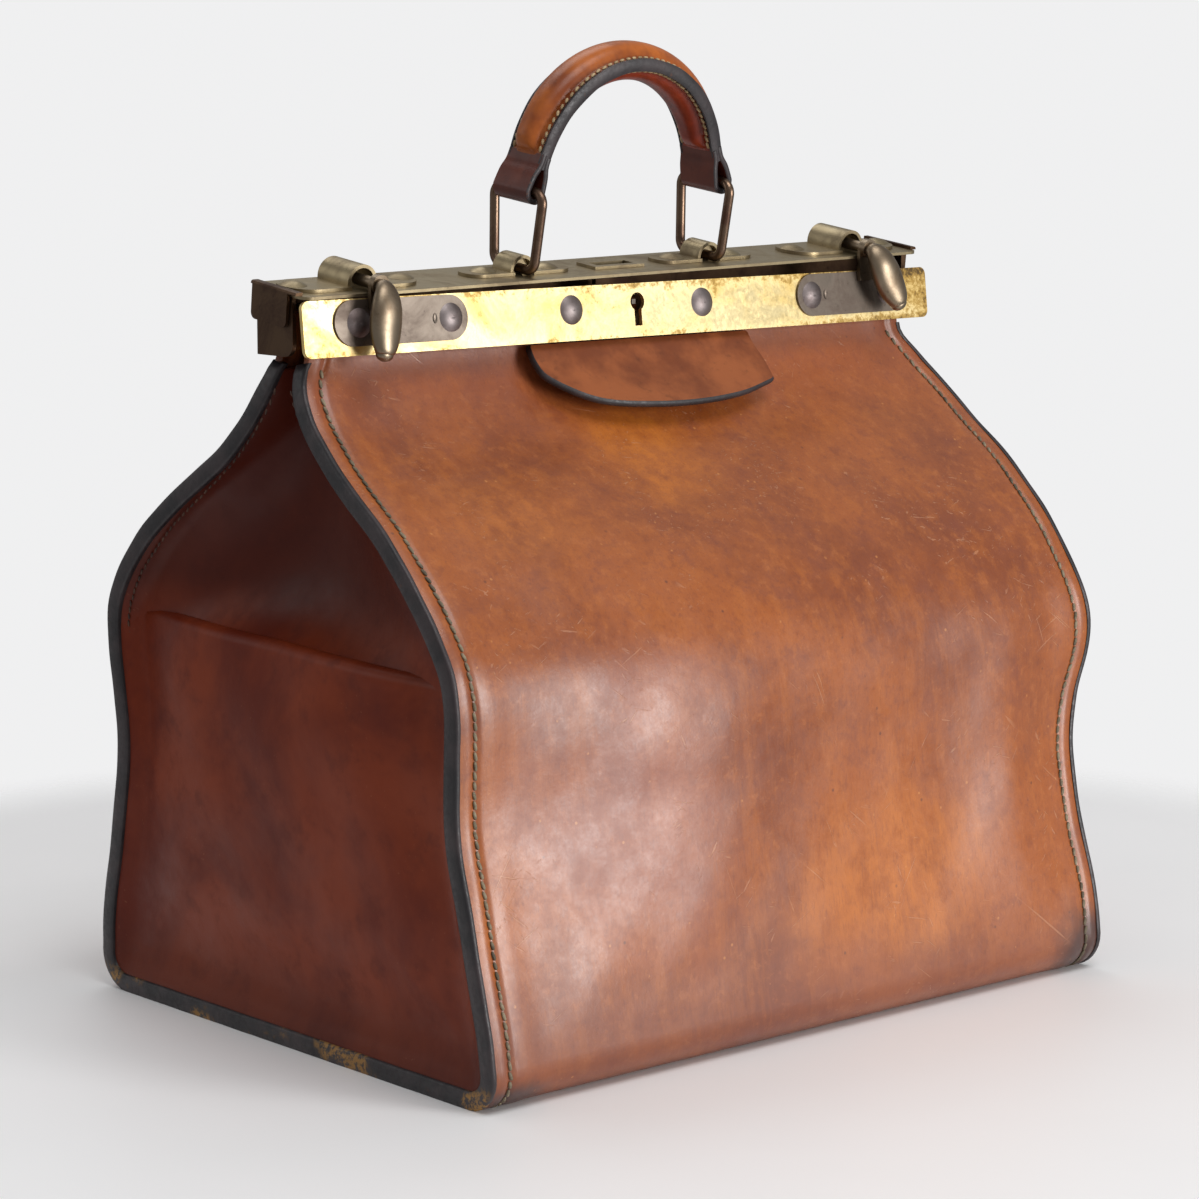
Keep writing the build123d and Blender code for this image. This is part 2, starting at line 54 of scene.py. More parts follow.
PANEL = 3.8  # thickness of the hide
NECK = 12.6  # half depth where the hide enters the jaws
NECK_TOP = 323.0
BASE_HALF = 144.3
BASE_RADIUS = 17.0
SIDE_POINTS = [(144.3, 17), (142, 36), (133.8, 70), (125.6, 106), (123.3, 130), (126.4, 154), (127.3, 172)]
SIDE_POINTS += [(122.8, 190), (105.1, 214), (78, 238), (43, 262), (21, 284), (NECK, 302), (NECK, NECK_TOP)]
FOLD_START, FOLD_END = 166.0, 204.0  # heights between which the hide bends at a shoulder

# How far the sewn ends stand out, against height
LEFT_EDGE = [(0, 189.5), (40, 191), (110, 192.4), (160, 194), (205, 196.5), (250, 193.5)]
LEFT_EDGE += [(286, 189.5), (300, 185), (306, 182), (330, 182)]
RIGHT_EDGE = [(0, 187.5), (40, 187), (95, 184.5), (130, 190), (160, 195.5), (205, 190)]
RIGHT_EDGE += [(262, 195), (286, 189), (298, 181), (306, 180), (330, 180)]

BAND_DEPTH = 8.0  # the painted edge: hide and end panel together
BAND_WIDTH = 2.8
STITCH_INSET = 10.5
STITCH_PITCH = 4.2
CREASE_Z = 177.0


def curve_through(points, per_span=14):
    """A smooth line through the points."""
    p = np.array(points, float)
    p = np.vstack([2 * p[0] - p[1], p, 2 * p[-1] - p[-2]])
    out = []
    for a, b, c, d in zip(p[:-3], p[1:-2], p[2:-1], p[3:]):
        for t in np.linspace(0, 1, per_span, endpoint=False):
            square = (2 * a - 5 * b + 4 * c - d) * t**2
            cube = (3 * b - a - 3 * c + d) * t**3
            out.append(0.5 * (2 * b + (c - a) * t + square + cube))
    out.append(p[-2])
    return np.array(out)


def lengths(line):
    """Distance along a polyline at each of its points."""
    return np.concatenate([[0], np.cumsum(np.linalg.norm(np.diff(line, axis=0), axis=1))])


def walk(line, at):
    """Points of a polyline at these distances along it."""
    s = lengths(line)
    return np.stack([np.interp(at, s, line[:, i]) for i in range(line.shape[1])], axis=-1)


def smoothstep(t):
    t = np.clip(t, 0, 1)
    return t * t * (3 - 2 * t)


def bump(value, centre, width):
    """A bell of height 1."""
    return np.exp(-(((value - centre) / width) ** 2))


def waves(x, y, seed, scale):
    """Smooth uneven undulation between about -1 and 1."""
    r = np.random.default_rng(seed)
    total = np.zeros(np.broadcast(x, y).shape)
    for _ in range(7):
        angle, phase, stretch = r.uniform(0, math.pi), r.uniform(0, 2 * math.pi), r.uniform(0.6, 1.7)
        k = 2 * math.pi / (scale * stretch)
        total = total + np.sin((x * math.cos(angle) + y * math.sin(angle)) * k + phase)
    return total / 3.2


# Half of the cross-section, from the middle of the base to the top of the neck, as (half depth, height)
flat = np.array([(y, 0.0) for y in np.linspace(0, BASE_HALF - BASE_RADIUS, 24)])
turn = np.radians(np.linspace(-90, -4, 12))[1:]
corner = np.stack(
    [BASE_HALF - BASE_RADIUS + BASE_RADIUS * np.cos(turn), BASE_RADIUS + BASE_RADIUS * np.sin(turn)], axis=-1
)
HALF = np.vstack([flat, corner, curve_through(SIDE_POINTS)])
HALF = walk(HALF, np.linspace(0, lengths(HALF)[-1], 560))
eased = HALF.copy()
for _ in range(160):
    eased[1:-1] = (eased[:-2] + 2 * eased[1:-1] + eased[2:]) / 4
ease = (smoothstep((HALF[:, 1] - 40) / 50) * (1 - smoothstep((HALF[:, 1] - 268) / 20)))[:, None]
HALF = HALF * (1 - ease) + eased * ease
HALF_S = lengths(HALF)
HALF_LENGTH = HALF_S[-1]
tangent = np.gradient(HALF, HALF_S, axis=0)
tangent /= np.linalg.norm(tangent, axis=1)[:, None]
HALF_NORMAL = np.stack([tangent[:, 1], -tangent[:, 0]], axis=-1)

# Away from its sewn ends the hide is rounder: distance from the section to that rounder line
rounder = HALF.copy()
for _ in range(900):
    rounder[1:-1] = (rounder[:-2] + 2 * rounder[1:-1] + rounder[2:]) / 4
ROUNDER = np.sum((rounder - HALF) * HALF_NORMAL, axis=1)
ROUNDER *= smoothstep((HALF[:, 1] - 60) / 50) * (1 - smoothstep((HALF[:, 1] - 246) / 24))


def section(s):
    """Half depth, height and outward normal of the cross-section, s along it from the base's middle."""
    point = walk(HALF, s)
    normal = np.stack([np.interp(s, HALF_S, HALF_NORMAL[:, i]) for i in (0, 1)], axis=-1)
    return point, normal / np.linalg.norm(normal, axis=-1, keepdims=True)


def edge_x(end, z):
    """How far the sewn end stands out at a height: end -1 is the left one."""
    table = np.array(LEFT_EDGE if end < 0 else RIGHT_EDGE, float)
    line = curve_through(table)
    return end * np.interp(z, line[:, 0], line[:, 1])


FRONT_SWELL = [(-200, 0), (-184, 0.3), (-160, 2.4), (-130, 5.8), (-100, 9.2), (-76, 11.6)]
FRONT_SWELL += [(-56, 12.4), (-36, 11.9), (0, 9.6), (45, 6.4), (84, 4.4), (104, 5.2), (122, 6.8)]
FRONT_SWELL += [(136, 7.2), (152, 5.0), (176, 0.8), (200, 0)]
FRONT_SWELL = curve_through(FRONT_SWELL)
BACK_SWELL = [(-200, 0), (-176, 0.6), (-120, 5.2), (-60, 6.2), (20, 7.6), (90, 8.2), (150, 3.4), (200, 0)]
BACK_SWELL = curve_through(BACK_SWELL)


def hide_lift(x, z, s, side):
    """How far the hide stands out from its plain section: dents and swells from years of use."""
    wall = smoothstep((z - 12) / 40) * (1 - smoothstep((z - 262) / 34))
    body = smoothstep((z - 14) / 92) * (1 - smoothstep((z - 128) / 112))
    table = FRONT_SWELL if side < 0 else BACK_SWELL
    swell = np.interp(x, table[:, 0], table[:, 1]) * body
    if side < 0:
        swell = swell - 2.0 * bump(x, 164, 15) * bump(z, 110, 70)
        swell = swell + 1.8 * bump(x, -20, 90) * bump(z, 215, 34)
    else:
        swell = swell + 1.6 * bump(x, 0, 110) * bump(z, 210, 34)
    ripple = 0.9 * waves(x, s * 0.5, 3 if side < 0 else 4, 120) + 0.35 * waves(x, s, 5 - side, 42)
    inner = smoothstep((196 - np.abs(x)) / 70)
    return wall * (swell + ripple) + inner * np.interp(s, HALF_S, ROUNDER)


def hide_point(x, s, side, lift=0.0):
    """A place on the outside of the hide; side -1 is the front."""
    p, n = section(s)
    out = hide_lift(x, p[..., 1], s, side) + lift
    y = side * (p[..., 0] + n[..., 0] * out)
    z = p[..., 1] + n[..., 1] * out
    return np.stack(np.broadcast_arrays(x, y, z), axis=-1)


# ---- mesh helpers ----


def place(obj_name, verts, faces, materials, face_material=None, sharp=50.0):
    """A mesh object from millimetre points, keeping each point's place at rest for its material."""
    verts = np.asarray(verts, float) / 1000.0
    mesh = bpy.data.meshes.new(obj_name)
    mesh.from_pydata(verts.tolist(), [], [list(map(int, f)) for f in faces])
    mesh.update()
    rest = mesh.attributes.new("rest_place", "FLOAT_VECTOR", "POINT")
    rest.data.foreach_set("vector", verts.astype(np.float32).ravel())
    for m in materials:
        mesh.materials.append(m)
    if face_material is not None:
        mesh.polygons.foreach_set("material_index", np.asarray(face_material, np.int32))
    mesh.shade_smooth()
    mesh.set_sharp_from_angle(angle=math.radians(sharp))
    obj = bpy.data.objects.new(obj_name, mesh)
    bpy.context.scene.collection.objects.link(obj)
    return obj


def grid_faces(rows, cols, start=0, flip=False):
    """Quads of a grid of points."""
    i = np.arange(rows - 1)[:, None] * cols + np.arange(cols - 1)[None, :] + start
    quads = np.stack([i, i + 1, i + cols + 1, i + cols], axis=-1).reshape(-1, 4)
    return quads[:, ::-1] if flip else quads


def rim_loop(rows, cols):
    """The points round a grid, in order."""
    top = [c for c in range(cols)]
    right = [r * cols + cols - 1 for r in range(1, rows)]
    bottom = [(rows - 1) * cols + c for c in range(cols - 2, -1, -1)]
    left = [r * cols for r in range(rows - 2, 0, -1)]
    return top + right + bottom + left


def grid_normals(grid):
    du = np.gradient(grid, axis=1)
    dv = np.gradient(grid, axis=0)
    n = np.cross(du, dv)
    return n / np.maximum(np.linalg.norm(n, axis=-1, keepdims=True), 1e-9)


def leather_sheet(obj_name, grid, thick, materials, flip=False, round_by=0.35):
    """A sheet of leather with rounded cut edges: the grid is its outer face, and thick lies behind it.

    The grid's normal is du x dv, and flip turns it, for a grid that runs the other way round.
    The faces of the two broad walls look into the leather, and those of the rim look out of it.
    """
    rows, cols, _ = grid.shape
    n = grid_normals(grid) * (-1 if flip else 1)
    front = grid.reshape(-1, 3)
    back = (grid - n * thick).reshape(-1, 3)
    loop = rim_loop(rows, cols)
    inward = np.zeros((rows, cols, 3))
    inward[0], inward[-1] = grid[1] - grid[0], grid[-2] - grid[-1]
    inward[:, 0] += grid[:, 1] - grid[:, 0]
    inward[:, -1] += grid[:, -2] - grid[:, -1]
    inward = inward.reshape(-1, 3)[loop]
    inward /= np.maximum(np.linalg.norm(inward, axis=1, keepdims=True), 1e-9)
    middle = []
    for share, push in ((0.18, 0.75), (0.5, 1.0), (0.82, 0.75)):
        middle.append(front[loop] * (1 - share) + back[loop] * share - inward * thick * round_by * push)
    verts = np.vstack([front, back, *middle])
    total, ring = rows * cols, len(loop)
    faces = [grid_faces(rows, cols, 0, not flip), grid_faces(rows, cols, total, flip)]
    kinds = [np.zeros(len(faces[0])), np.zeros(len(faces[1]))]
    strips = [np.array(loop)]
    strips += [np.arange(ring) + 2 * total + k * ring for k in range(3)]
    strips.append(np.array(loop) + total)
    for a, b in zip(strips, strips[1:]):
        quads = np.stack([a, np.roll(a, -1), np.roll(b, -1), b], axis=-1)
        faces.append(quads if flip else quads[:, ::-1])
        kinds.append(np.ones(ring))
    kinds = np.concatenate(kinds) if len(materials) > 1 else np.zeros(sum(map(len, kinds)))
    return place(obj_name, verts, np.vstack(faces), materials, kinds)


def swept(obj_name, path, outline_at, materials):
    """A closed outline carried along a path, with closed ends. outline_at(i) gives its points in space."""
    rings = [np.asarray(outline_at(i), float) for i in range(len(path))]
    count = len(rings[0])
    verts = np.vstack(rings)
    faces = []
    for i in range(len(rings) - 1):
        a = i * count + np.arange(count)
        b = a + count
        faces += np.stack([a, np.roll(a, -1), np.roll(b, -1), b], axis=-1).tolist()
    faces.append(list(range(count))[::-1])
    faces.append([(len(rings) - 1) * count + k for k in range(count)])
    return place(obj_name, verts, faces, materials, sharp=60.0)


STITCH_AROUND = 6  # points round a stitch
STITCH_SINK = 0.25  # how deep a stitch lies in the leather


def stitch_row(obj_name, points, normals, along, material, size=(4.0, 1.9, 1.5), lean=16.0):
    """A row of thread stitches, one lying at each point."""
    u = np.linspace(0, 2 * math.pi, STITCH_AROUND + 1)[:-1]
    rings = [(-1.0, 0.25), (-0.72, 0.8), (0.0, 1.0), (0.72, 0.8), (1.0, 0.25)]
    template = np.array([(a, r * math.cos(t), r * math.sin(t)) for a, r in rings for t in u])
    template *= np.array(size) / 2
    ring_faces = []
    for k in range(len(rings) - 1):
        a = k * STITCH_AROUND + np.arange(STITCH_AROUND)
        b = a + STITCH_AROUND
        ring_faces += np.stack([a, np.roll(a, -1), np.roll(b, -1), b], axis=-1).tolist()
    last = len(template) - STITCH_AROUND
    ring_faces += [list(range(STITCH_AROUND))[::-1], [last + k for k in range(STITCH_AROUND)]]
    verts, faces = [], []
    r = np.random.default_rng(len(points))
    for i, (p, n, t) in enumerate(zip(points, normals, along)):
        side = np.cross(n, t)
        angle = math.radians(lean + r.normal(0, 4))
        forward = t * math.cos(angle) + side * math.sin(angle)
        across = np.cross(n, forward)
        stretch = 1 + r.normal(0, 0.06)
        body = template[:, :1] * stretch * forward + template[:, 1:2] * across + template[:, 2:] * n
        verts.append(body + p + n * (size[2] / 2 - STITCH_SINK) + side * r.normal(0, 0.12))
        faces += [[v + len(template) * i for v in f] for f in ring_faces]
    return place(obj_name, np.vstack(verts), faces, [material], sharp=80)


# ---- materials ----


class Paint:
    """A material under construction: its nodes are made by short calls."""

    def __init__(self, title, own=True):
        self.material = bpy.data.materials.new(title)
        self.material.use_nodes = True
        self.tree = self.material.node_tree
        self.shader = self.tree.nodes["Principled BSDF"]
        if own:
            node = self.tree.nodes.new("ShaderNodeAttribute")
            node.attribute_name = "rest_place"
            self.where = node.outputs["Vector"]
        else:
            self.where = self.tree.nodes.new("ShaderNodeTexCoord").outputs["Object"]

    def link(self, a, b):
        self.tree.links.new(a, b)

    def feed(self, socket, value):
        if isinstance(value, bpy.types.NodeSocket):
            self.link(value, socket)
        else:
            socket.default_value = value

    def stretched(self, scale, turn_by=(0, 0, 0)):
        """The place turned by these degrees, then scaled along each axis."""
        turned = self.tree.nodes.new("ShaderNodeMapping")
        self.link(self.where, turned.inputs["Vector"])
        turned.inputs["Rotation"].default_value = [math.radians(a) for a in turn_by]
        node = self.tree.nodes.new("ShaderNodeMapping")
        self.link(turned.outputs["Vector"], node.inputs["Vector"])
        node.inputs["Scale"].default_value = scale
        return node.outputs["Vector"]

    def noise(self, scale, detail=4.0, rough=0.55, vector=None, distortion=0.0):
        node = self.tree.nodes.new("ShaderNodeTexNoise")
        self.link(vector or self.where, node.inputs["Vector"])
        node.inputs["Scale"].default_value = scale
        node.inputs["Detail"].default_value = detail
        node.inputs["Roughness"].default_value = rough
        node.inputs["Distortion"].default_value = distortion
        return node.outputs["Fac"]

    def cells(self, scale):
        node = self.tree.nodes.new("ShaderNodeTexVoronoi")
        self.link(self.where, node.inputs["Vector"])
        node.inputs["Scale"].default_value = scale
        return node.outputs["Distance"]

    def span(self, value, low, high, to_low=0.0, to_high=1.0):
        """The value's range from low to high, spread smoothly over to_low to to_high."""
        node = self.tree.nodes.new("ShaderNodeMapRange")
        node.interpolation_type = "SMOOTHSTEP"
        self.link(value, node.inputs["Value"])
        node.inputs["From Min"].default_value = low
        node.inputs["From Max"].default_value = high
        node.inputs["To Min"].default_value = to_low
        node.inputs["To Max"].default_value = to_high
        return node.outputs["Result"]

    def calc(self, kind, a, b=0.0):
        node = self.tree.nodes.new("ShaderNodeMath")
        node.operation = kind
        self.feed(node.inputs[0], a)
        self.feed(node.inputs[1], b)
        return node.outputs[0]

    def blend(self, share, a, b, kind="MIX"):
        node = self.tree.nodes.new("ShaderNodeMix")
        node.data_type = "RGBA"
        node.blend_type = kind
        self.feed(node.inputs[0], share)
        self.feed(node.inputs[6], colour(a))
        self.feed(node.inputs[7], colour(b))
        return node.outputs[2]

    def axis(self, letter):
        node = self.tree.nodes.new("ShaderNodeSeparateXYZ")
        self.link(self.where, node.inputs[0])
        return node.outputs[letter]

    def blob(self, centre, radii, wander=0.35, scale=22.0):
        """1 inside an uneven patch round a centre, 0 outside; millimetres."""
        node = self.tree.nodes.new("ShaderNodeMapping")
        self.link(self.where, node.inputs["Vector"])
        node.inputs["Location"].default_value = [-c / r for c, r in zip(centre, radii)]
        node.inputs["Scale"].default_value = [1000.0 / r for r in radii]
        length = self.tree.nodes.new("ShaderNodeVectorMath")
        length.operation = "LENGTH"
        self.link(node.outputs["Vector"], length.inputs[0])
        uneven = self.calc("MULTIPLY", self.calc("SUBTRACT", self.noise(scale, 5.0, 0.62), 0.5), wander * 4)
        return self.span(self.calc("ADD", length.outputs["Value"], uneven), 1.0, 0.25)

    def scratches(self, turn_by, low=0.70, high=0.735, fine=620.0, long=16.0):
        """Fine marks in one direction, where a coarse noise lets them show."""
        lines = self.noise(1.0, 2.0, 0.5, self.stretched((fine, fine, long), turn_by))
        where = self.span(self.noise(26.0, 2.0, 0.5, self.stretched((1, 1, 1), (40, 10, 70))), 0.5, 0.62)
        return self.calc("MULTIPLY", self.span(lines, low, high), where)

    def relief(self, *layers):
        """Bump from (height, depth in millimetres) layers."""
        normal = None
        for height, depth in layers:
            node = self.tree.nodes.new("ShaderNodeBump")
            node.inputs["Distance"].default_value = depth / 1000.0
            node.inputs["Strength"].default_value = 1.0
            self.link(height, node.inputs["Height"])
            if normal is not None:
                self.link(normal, node.inputs["Normal"])
            normal = node.outputs["Normal"]
        self.link(normal, self.shader.inputs["Normal"])

    def finish(self, base, rough, metallic=0.0, coat=0.0, coat_rough=0.3, specular=0.5):
        self.feed(self.shader.inputs["Base Color"], colour(base))
        self.feed(self.shader.inputs["Roughness"], rough)
        self.shader.inputs["Metallic"].default_value = metallic
        self.shader.inputs["Coat Weight"].default_value = coat
        self.shader.inputs["Coat Roughness"].default_value = coat_rough
        self.shader.inputs["Specular IOR Level"].default_value = specular
        return self.material


def colour(value):
    """A colour with its alpha; sockets pass through."""
    if isinstance(value, tuple) and len(value) == 3:
        return (*value, 1.0)
    return value


def hide_leather():
    """Old bridle leather: chestnut with orange wear, red-brown shading, scratches and stains."""
    p = Paint("hide_leather")
    broad = p.noise(9.0, 6.0, 0.66, distortion=0.3)
    streaks = p.noise(1.0, 5.0, 0.68, p.stretched((110.0, 110.0, 12.0), (0, 6, 0)))
    mottled = p.noise(55.0, 7.0, 0.74)
    fibre = p.noise(1.0, 4.0, 0.7, p.stretched((900.0, 900.0, 130.0)))
    base = p.blend(p.span(broad, 0.36, 0.64), (0.195, 0.045, 0.011), (0.325, 0.085, 0.015))
    base = p.blend(p.span(streaks, 0.46, 0.66, 0.0, 0.36), base, (0.40, 0.116, 0.017))
    base = p.blend(p.span(mottled, 0.52, 0.66, 0.0, 0.42), base, (0.185, 0.042, 0.016))
    small = p.noise(170.0, 6.0, 0.72)
    base = p.blend(p.span(small, 0.52, 0.66, 0.0, 0.34), base, (0.155, 0.034, 0.013))
    base = p.blend(p.span(small, 0.46, 0.34, 0.0, 0.28), base, (0.46, 0.150, 0.040))
    orange = p.calc("MAXIMUM", p.blob((45, -130, 64), (92, 60, 56)), p.blob((-22, -48, 258), (40, 60, 44)))
    orange = p.calc("MAXIMUM", orange, p.calc("MULTIPLY", p.blob((-120, -70, 236), (58, 60, 24)), 0.6))
    orange = p.calc("MAXIMUM", orange, p.calc("MULTIPLY", p.blob((0, 130, 120), (120, 60, 70)), 0.5))
    orange = p.calc("MULTIPLY", orange, p.span(mottled, 0.34, 0.60, 0.30, 0.95))
    orange = p.calc("MULTIPLY", orange, p.span(streaks, 0.36, 0.58, 0.55, 1.0))
    base = p.blend(orange, base, (0.46, 0.132, 0.011))
    red = p.calc("MULTIPLY", p.blob((-105, -125, 110), (75, 60, 90)), 0.40)
    base = p.blend(red, base, (0.27, 0.060, 0.024))
    foot = p.span(p.axis("Z"), 0.045, 0.004, 0.0, 0.40)
    base = p.blend(foot, base, (0.17, 0.042, 0.022))
    neck = p.span(p.axis("Z"), 0.258, 0.300, 0.0, 0.45)
    base = p.blend(neck, base, (0.24, 0.064, 0.030))
    stain = p.blob((178, -143, 14), (30, 40, 28))
    stain = p.calc("MAXIMUM", stain, p.blob((-176, -143, 4), (24, 40, 9)))
    base = p.blend(p.calc("MULTIPLY", stain, 0.88), base, (0.035, 0.012, 0.010))
    base = p.blend(p.span(fibre, 0.50, 0.74, 0.0, 0.35), base, (0.135, 0.030, 0.014))
    specks = p.calc("MULTIPLY", p.span(p.cells(120.0), 0.11, 0.05, 0.0, 0.55), p.span(mottled, 0.49, 0.56))
    base = p.blend(specks, base, (0.55, 0.22, 0.06))
    pits = p.calc("MULTIPLY", p.span(p.cells(74.0), 0.08, 0.03, 0.0, 0.6), p.span(broad, 0.50, 0.57))
    base = p.blend(pits, base, (0.07, 0.018, 0.012))
    marks = p.calc("MAXIMUM", p.scratches((0, 24, 0)), p.scratches((10, -38, 20)))
    marks = p.calc("MAXIMUM", marks, p.scratches((30, 76, 50), fine=540.0, long=24.0))
    marks = p.calc("MAXIMUM", marks, p.scratches((5, 52, 12), low=0.68, high=0.715, fine=480.0, long=9.0))
    marks = p.calc("MAXIMUM", marks, p.scratches((12, -62, 5), low=0.69, high=0.725, fine=700.0, long=12.0))
    base = p.blend(p.calc("MULTIPLY", marks, 0.42), base, (0.50, 0.23, 0.12))
    grain = p.noise(560.0, 4.0, 0.66)
    p.relief((p.noise(26.0, 5.0, 0.55), 0.5), (mottled, 0.16), (grain, 0.07), (marks, -0.12))
    rough = p.span(p.calc("ADD", mottled, p.calc("MULTIPLY", grain, 0.25)), 0.40, 0.80, 0.30, 0.50)
    return p.finish(base, rough, coat=0.40, coat_rough=0.32)


def gusset_leather():
    """Smooth deep red-brown leather of the end panels, with painted shade above the crease."""
    p = Paint("gusset_leather")
    broad = p.noise(11.0, 5.0, 0.6, distortion=0.5)
    fine = p.noise(70.0, 5.0, 0.65)
    base = p.blend(p.span(broad, 0.35, 0.65), (0.120, 0.015, 0.005), (0.215, 0.034, 0.009))
    base = p.blend(p.span(fine, 0.5, 0.72, 0.0, 0.45), base, (0.085, 0.013, 0.007))
    base = p.blend(p.span(p.axis("Z"), 0.045, 0.004, 0.0, 0.5), base, (0.055, 0.014, 0.009))
    marks = p.scratches((20, 60, 35))
    base = p.blend(p.calc("MULTIPLY", marks, 0.25), base, (0.34, 0.12, 0.06))
    grain = p.noise(700.0, 3.0, 0.6)
    p.relief((p.noise(45.0, 4.0, 0.5), 0.3), (grain, 0.03))
    # Darker above the crease: painted shade for the folded-in recess of the upper end panels.
    above = p.span(p.axis("Z"), 0.178, 0.205, 0.0, 0.78)
    base = p.blend(above, base, (0.060, 0.008, 0.004))
    return p.finish(base, p.span(fine, 0.3, 0.7, 0.34, 0.48), specular=0.18)


def edge_paint():
    """Black painted cut edges, worn to tan leather near the foot."""
    p = Paint("edge_paint")
    broad = p.noise(60.0, 4.0, 0.6)
    fine = p.noise(420.0, 5.0, 0.7)
    base = p.blend(p.span(broad, 0.35, 0.65), (0.012, 0.010, 0.012), (0.034, 0.024, 0.026))
    low = p.span(p.axis("Z"), 0.014, 0.006)
    worn = p.calc("MULTIPLY", p.span(p.noise(26.0, 3.0, 0.6), 0.53, 0.60), p.span(fine, 0.42, 0.58))
    base = p.blend(p.calc("MULTIPLY", worn, low), base, (0.30, 0.15, 0.032))
    scuff = p.calc("MULTIPLY", p.span(p.noise(40.0, 3.0, 0.6), 0.62, 0.70), p.span(fine, 0.55, 0.66))
    base = p.blend(p.calc("MULTIPLY", scuff, 0.6), base, (0.13, 0.045, 0.022))
    p.relief((broad, 0.35), (fine, 0.06))
    return p.finish(base, p.span(fine, 0.3, 0.7, 0.38, 0.60))


def handle_leather(name, dark, light):
    """Polished leather of the handle."""
    p = Paint(name)
    broad = p.noise(34.0, 4.0, 0.6)
    fine = p.noise(160.0, 5.0, 0.65)
    base = p.blend(p.span(broad, 0.35, 0.65), dark, light)
    base = p.blend(p.span(fine, 0.55, 0.75, 0.0, 0.5), base, tuple(c * 0.5 for c in dark))
    p.relief((p.noise(90.0, 4.0, 0.5), 0.2), (p.noise(800.0, 3.0, 0.6), 0.02))
    return p.finish(base, p.span(fine, 0.3, 0.7, 0.28, 0.40), specular=0.32)


def thread(name, dark, light):
    """Waxed linen thread."""
    p = Paint(name)
    base = p.blend(p.span(p.noise(240.0, 4.0, 0.6), 0.35, 0.65), dark, light)
    base = p.blend(p.span(p.noise(24.0, 3.0, 0.6), 0.5, 0.64, 0.0, 0.7), base, tuple(c * 0.4 for c in dark))
    p.relief((p.noise(1500.0, 2.0, 0.5), 0.12),)
    return p.finish(base, p.span(p.noise(300.0), 0.3, 0.7, 0.6, 0.85))


TARNISH_FROM, TARNISH_TO = 0.40, 0.66  # the cloud noise between which clean metal turns dull


def tarnished(name, clean, dull, dark, rough):
    """Metal with cloudy tarnish and dark specks, on a CAD node."""
    p = Paint(name, own=False)
    cloud = p.noise(38.0, 6.0, 0.66, distortion=0.5)
    fine = p.noise(330.0, 5.0, 0.72)
    base = p.blend(p.span(cloud, TARNISH_FROM, TARNISH_TO), clean, dull)
    grains = p.span(fine, 0.60, 0.70)
    stained = p.span(cloud, TARNISH_FROM - 0.02, TARNISH_TO - 0.06)
    spots = p.calc("MULTIPLY", grains, stained)
    base = p.blend(p.calc("MULTIPLY", spots, 0.6), base, dark)
    marks = p.scratches((25, 65, 15), fine=900.0, long=30.0)
    base = p.blend(p.calc("MULTIPLY", marks, 0.3), base, clean)
    p.relief((cloud, 0.12), (fine, 0.03), (marks, -0.02))
    return p.finish(base, p.span(cloud, 0.35, 0.68, *rough), metallic=1.0)


def face_brass():
    """Polished brass sheet, tarnished along its edges and round the rivets, and darker towards its right end
    as painted shade for the window's fading reflection.
    """
    p = Paint("face_brass", own=False)
    cloud = p.noise(30.0, 6.0, 0.68, distortion=0.6)
    fine = p.noise(360.0, 6.0, 0.74)
    height = p.axis("Z")
    top = p.span(height, 0.3235, 0.3295)
    bottom = p.span(height, 0.3095, 0.3062)
    rim = p.calc("MAXIMUM", top, p.calc("MULTIPLY", bottom, 0.7))
    middle = p.blob((20, -20, 318), (70, 40, 26), wander=0.5, scale=40.0)
    # Darker towards the right end: painted shade for the window's reflection fading along the plate.
    ends = p.span(p.axis("X"), 0.05, 0.19, 0.0, 0.42)
    amount = p.calc("ADD", p.calc("MULTIPLY", rim, 0.35), p.calc("MULTIPLY", middle, 0.20))
    amount = p.calc("ADD", amount, ends)
    # Tarnish of the rims and middle, together with the painted shade of the right end.
    tarnish_and_shade = p.calc("ADD", p.calc("MULTIPLY", fine, 0.55), p.calc("MULTIPLY", cloud, 0.45))
    tarnish_and_shade = p.calc("ADD", tarnish_and_shade, p.calc("MULTIPLY", amount, 0.32))
    base = p.blend(p.span(cloud, 0.35, 0.7), (0.88, 0.73, 0.40), (0.70, 0.50, 0.18))
    base = p.blend(p.span(tarnish_and_shade, 0.585, 0.70, 0.0, 0.85), base, (0.36, 0.215, 0.05))
    base = p.blend(p.span(tarnish_and_shade, 0.69, 0.79, 0.0, 0.9), base, (0.085, 0.055, 0.03))
    p.relief((cloud, 0.15), (fine, 0.04))
    return p.finish(base, p.span(tarnish_and_shade, 0.45, 0.72, 0.31, 0.54), metallic=1.0)


def board():
    """Fibre board in the base."""
    p = Paint("fibre_board", own=False)
    base = p.blend(p.noise(120.0, 5.0, 0.7), (0.05, 0.028, 0.016), (0.12, 0.07, 0.04))
    p.relief((p.noise(500.0, 3.0, 0.6), 0.1),)
    return p.finish(base, p.span(p.noise(60.0), 0.3, 0.7, 0.7, 0.9))


HIDE = hide_leather()
GUSSET = gusset_leather()
EDGE = edge_paint()
GRIP = handle_leather("grip_leather", (0.20, 0.046, 0.012), (0.42, 0.112, 0.018))
GRIP_UNDER = handle_leather("grip_under_leather", (0.12, 0.014, 0.006), (0.28, 0.036, 0.010))
STRAP = handle_leather("strap_leather", (0.075, 0.016, 0.010), (0.135, 0.031, 0.016))
TAB = handle_leather("tab_leather", (0.16, 0.042, 0.015), (0.29, 0.085, 0.028))
THREAD = thread("seam_thread", (0.115, 0.09, 0.055), (0.26, 0.21, 0.135))
DARK_THREAD = thread("flange_thread", (0.04, 0.016, 0.010), (0.11, 0.05, 0.028))
GRIP_THREAD = thread("grip_thread", (0.26, 0.17, 0.08), (0.46, 0.33, 0.18))

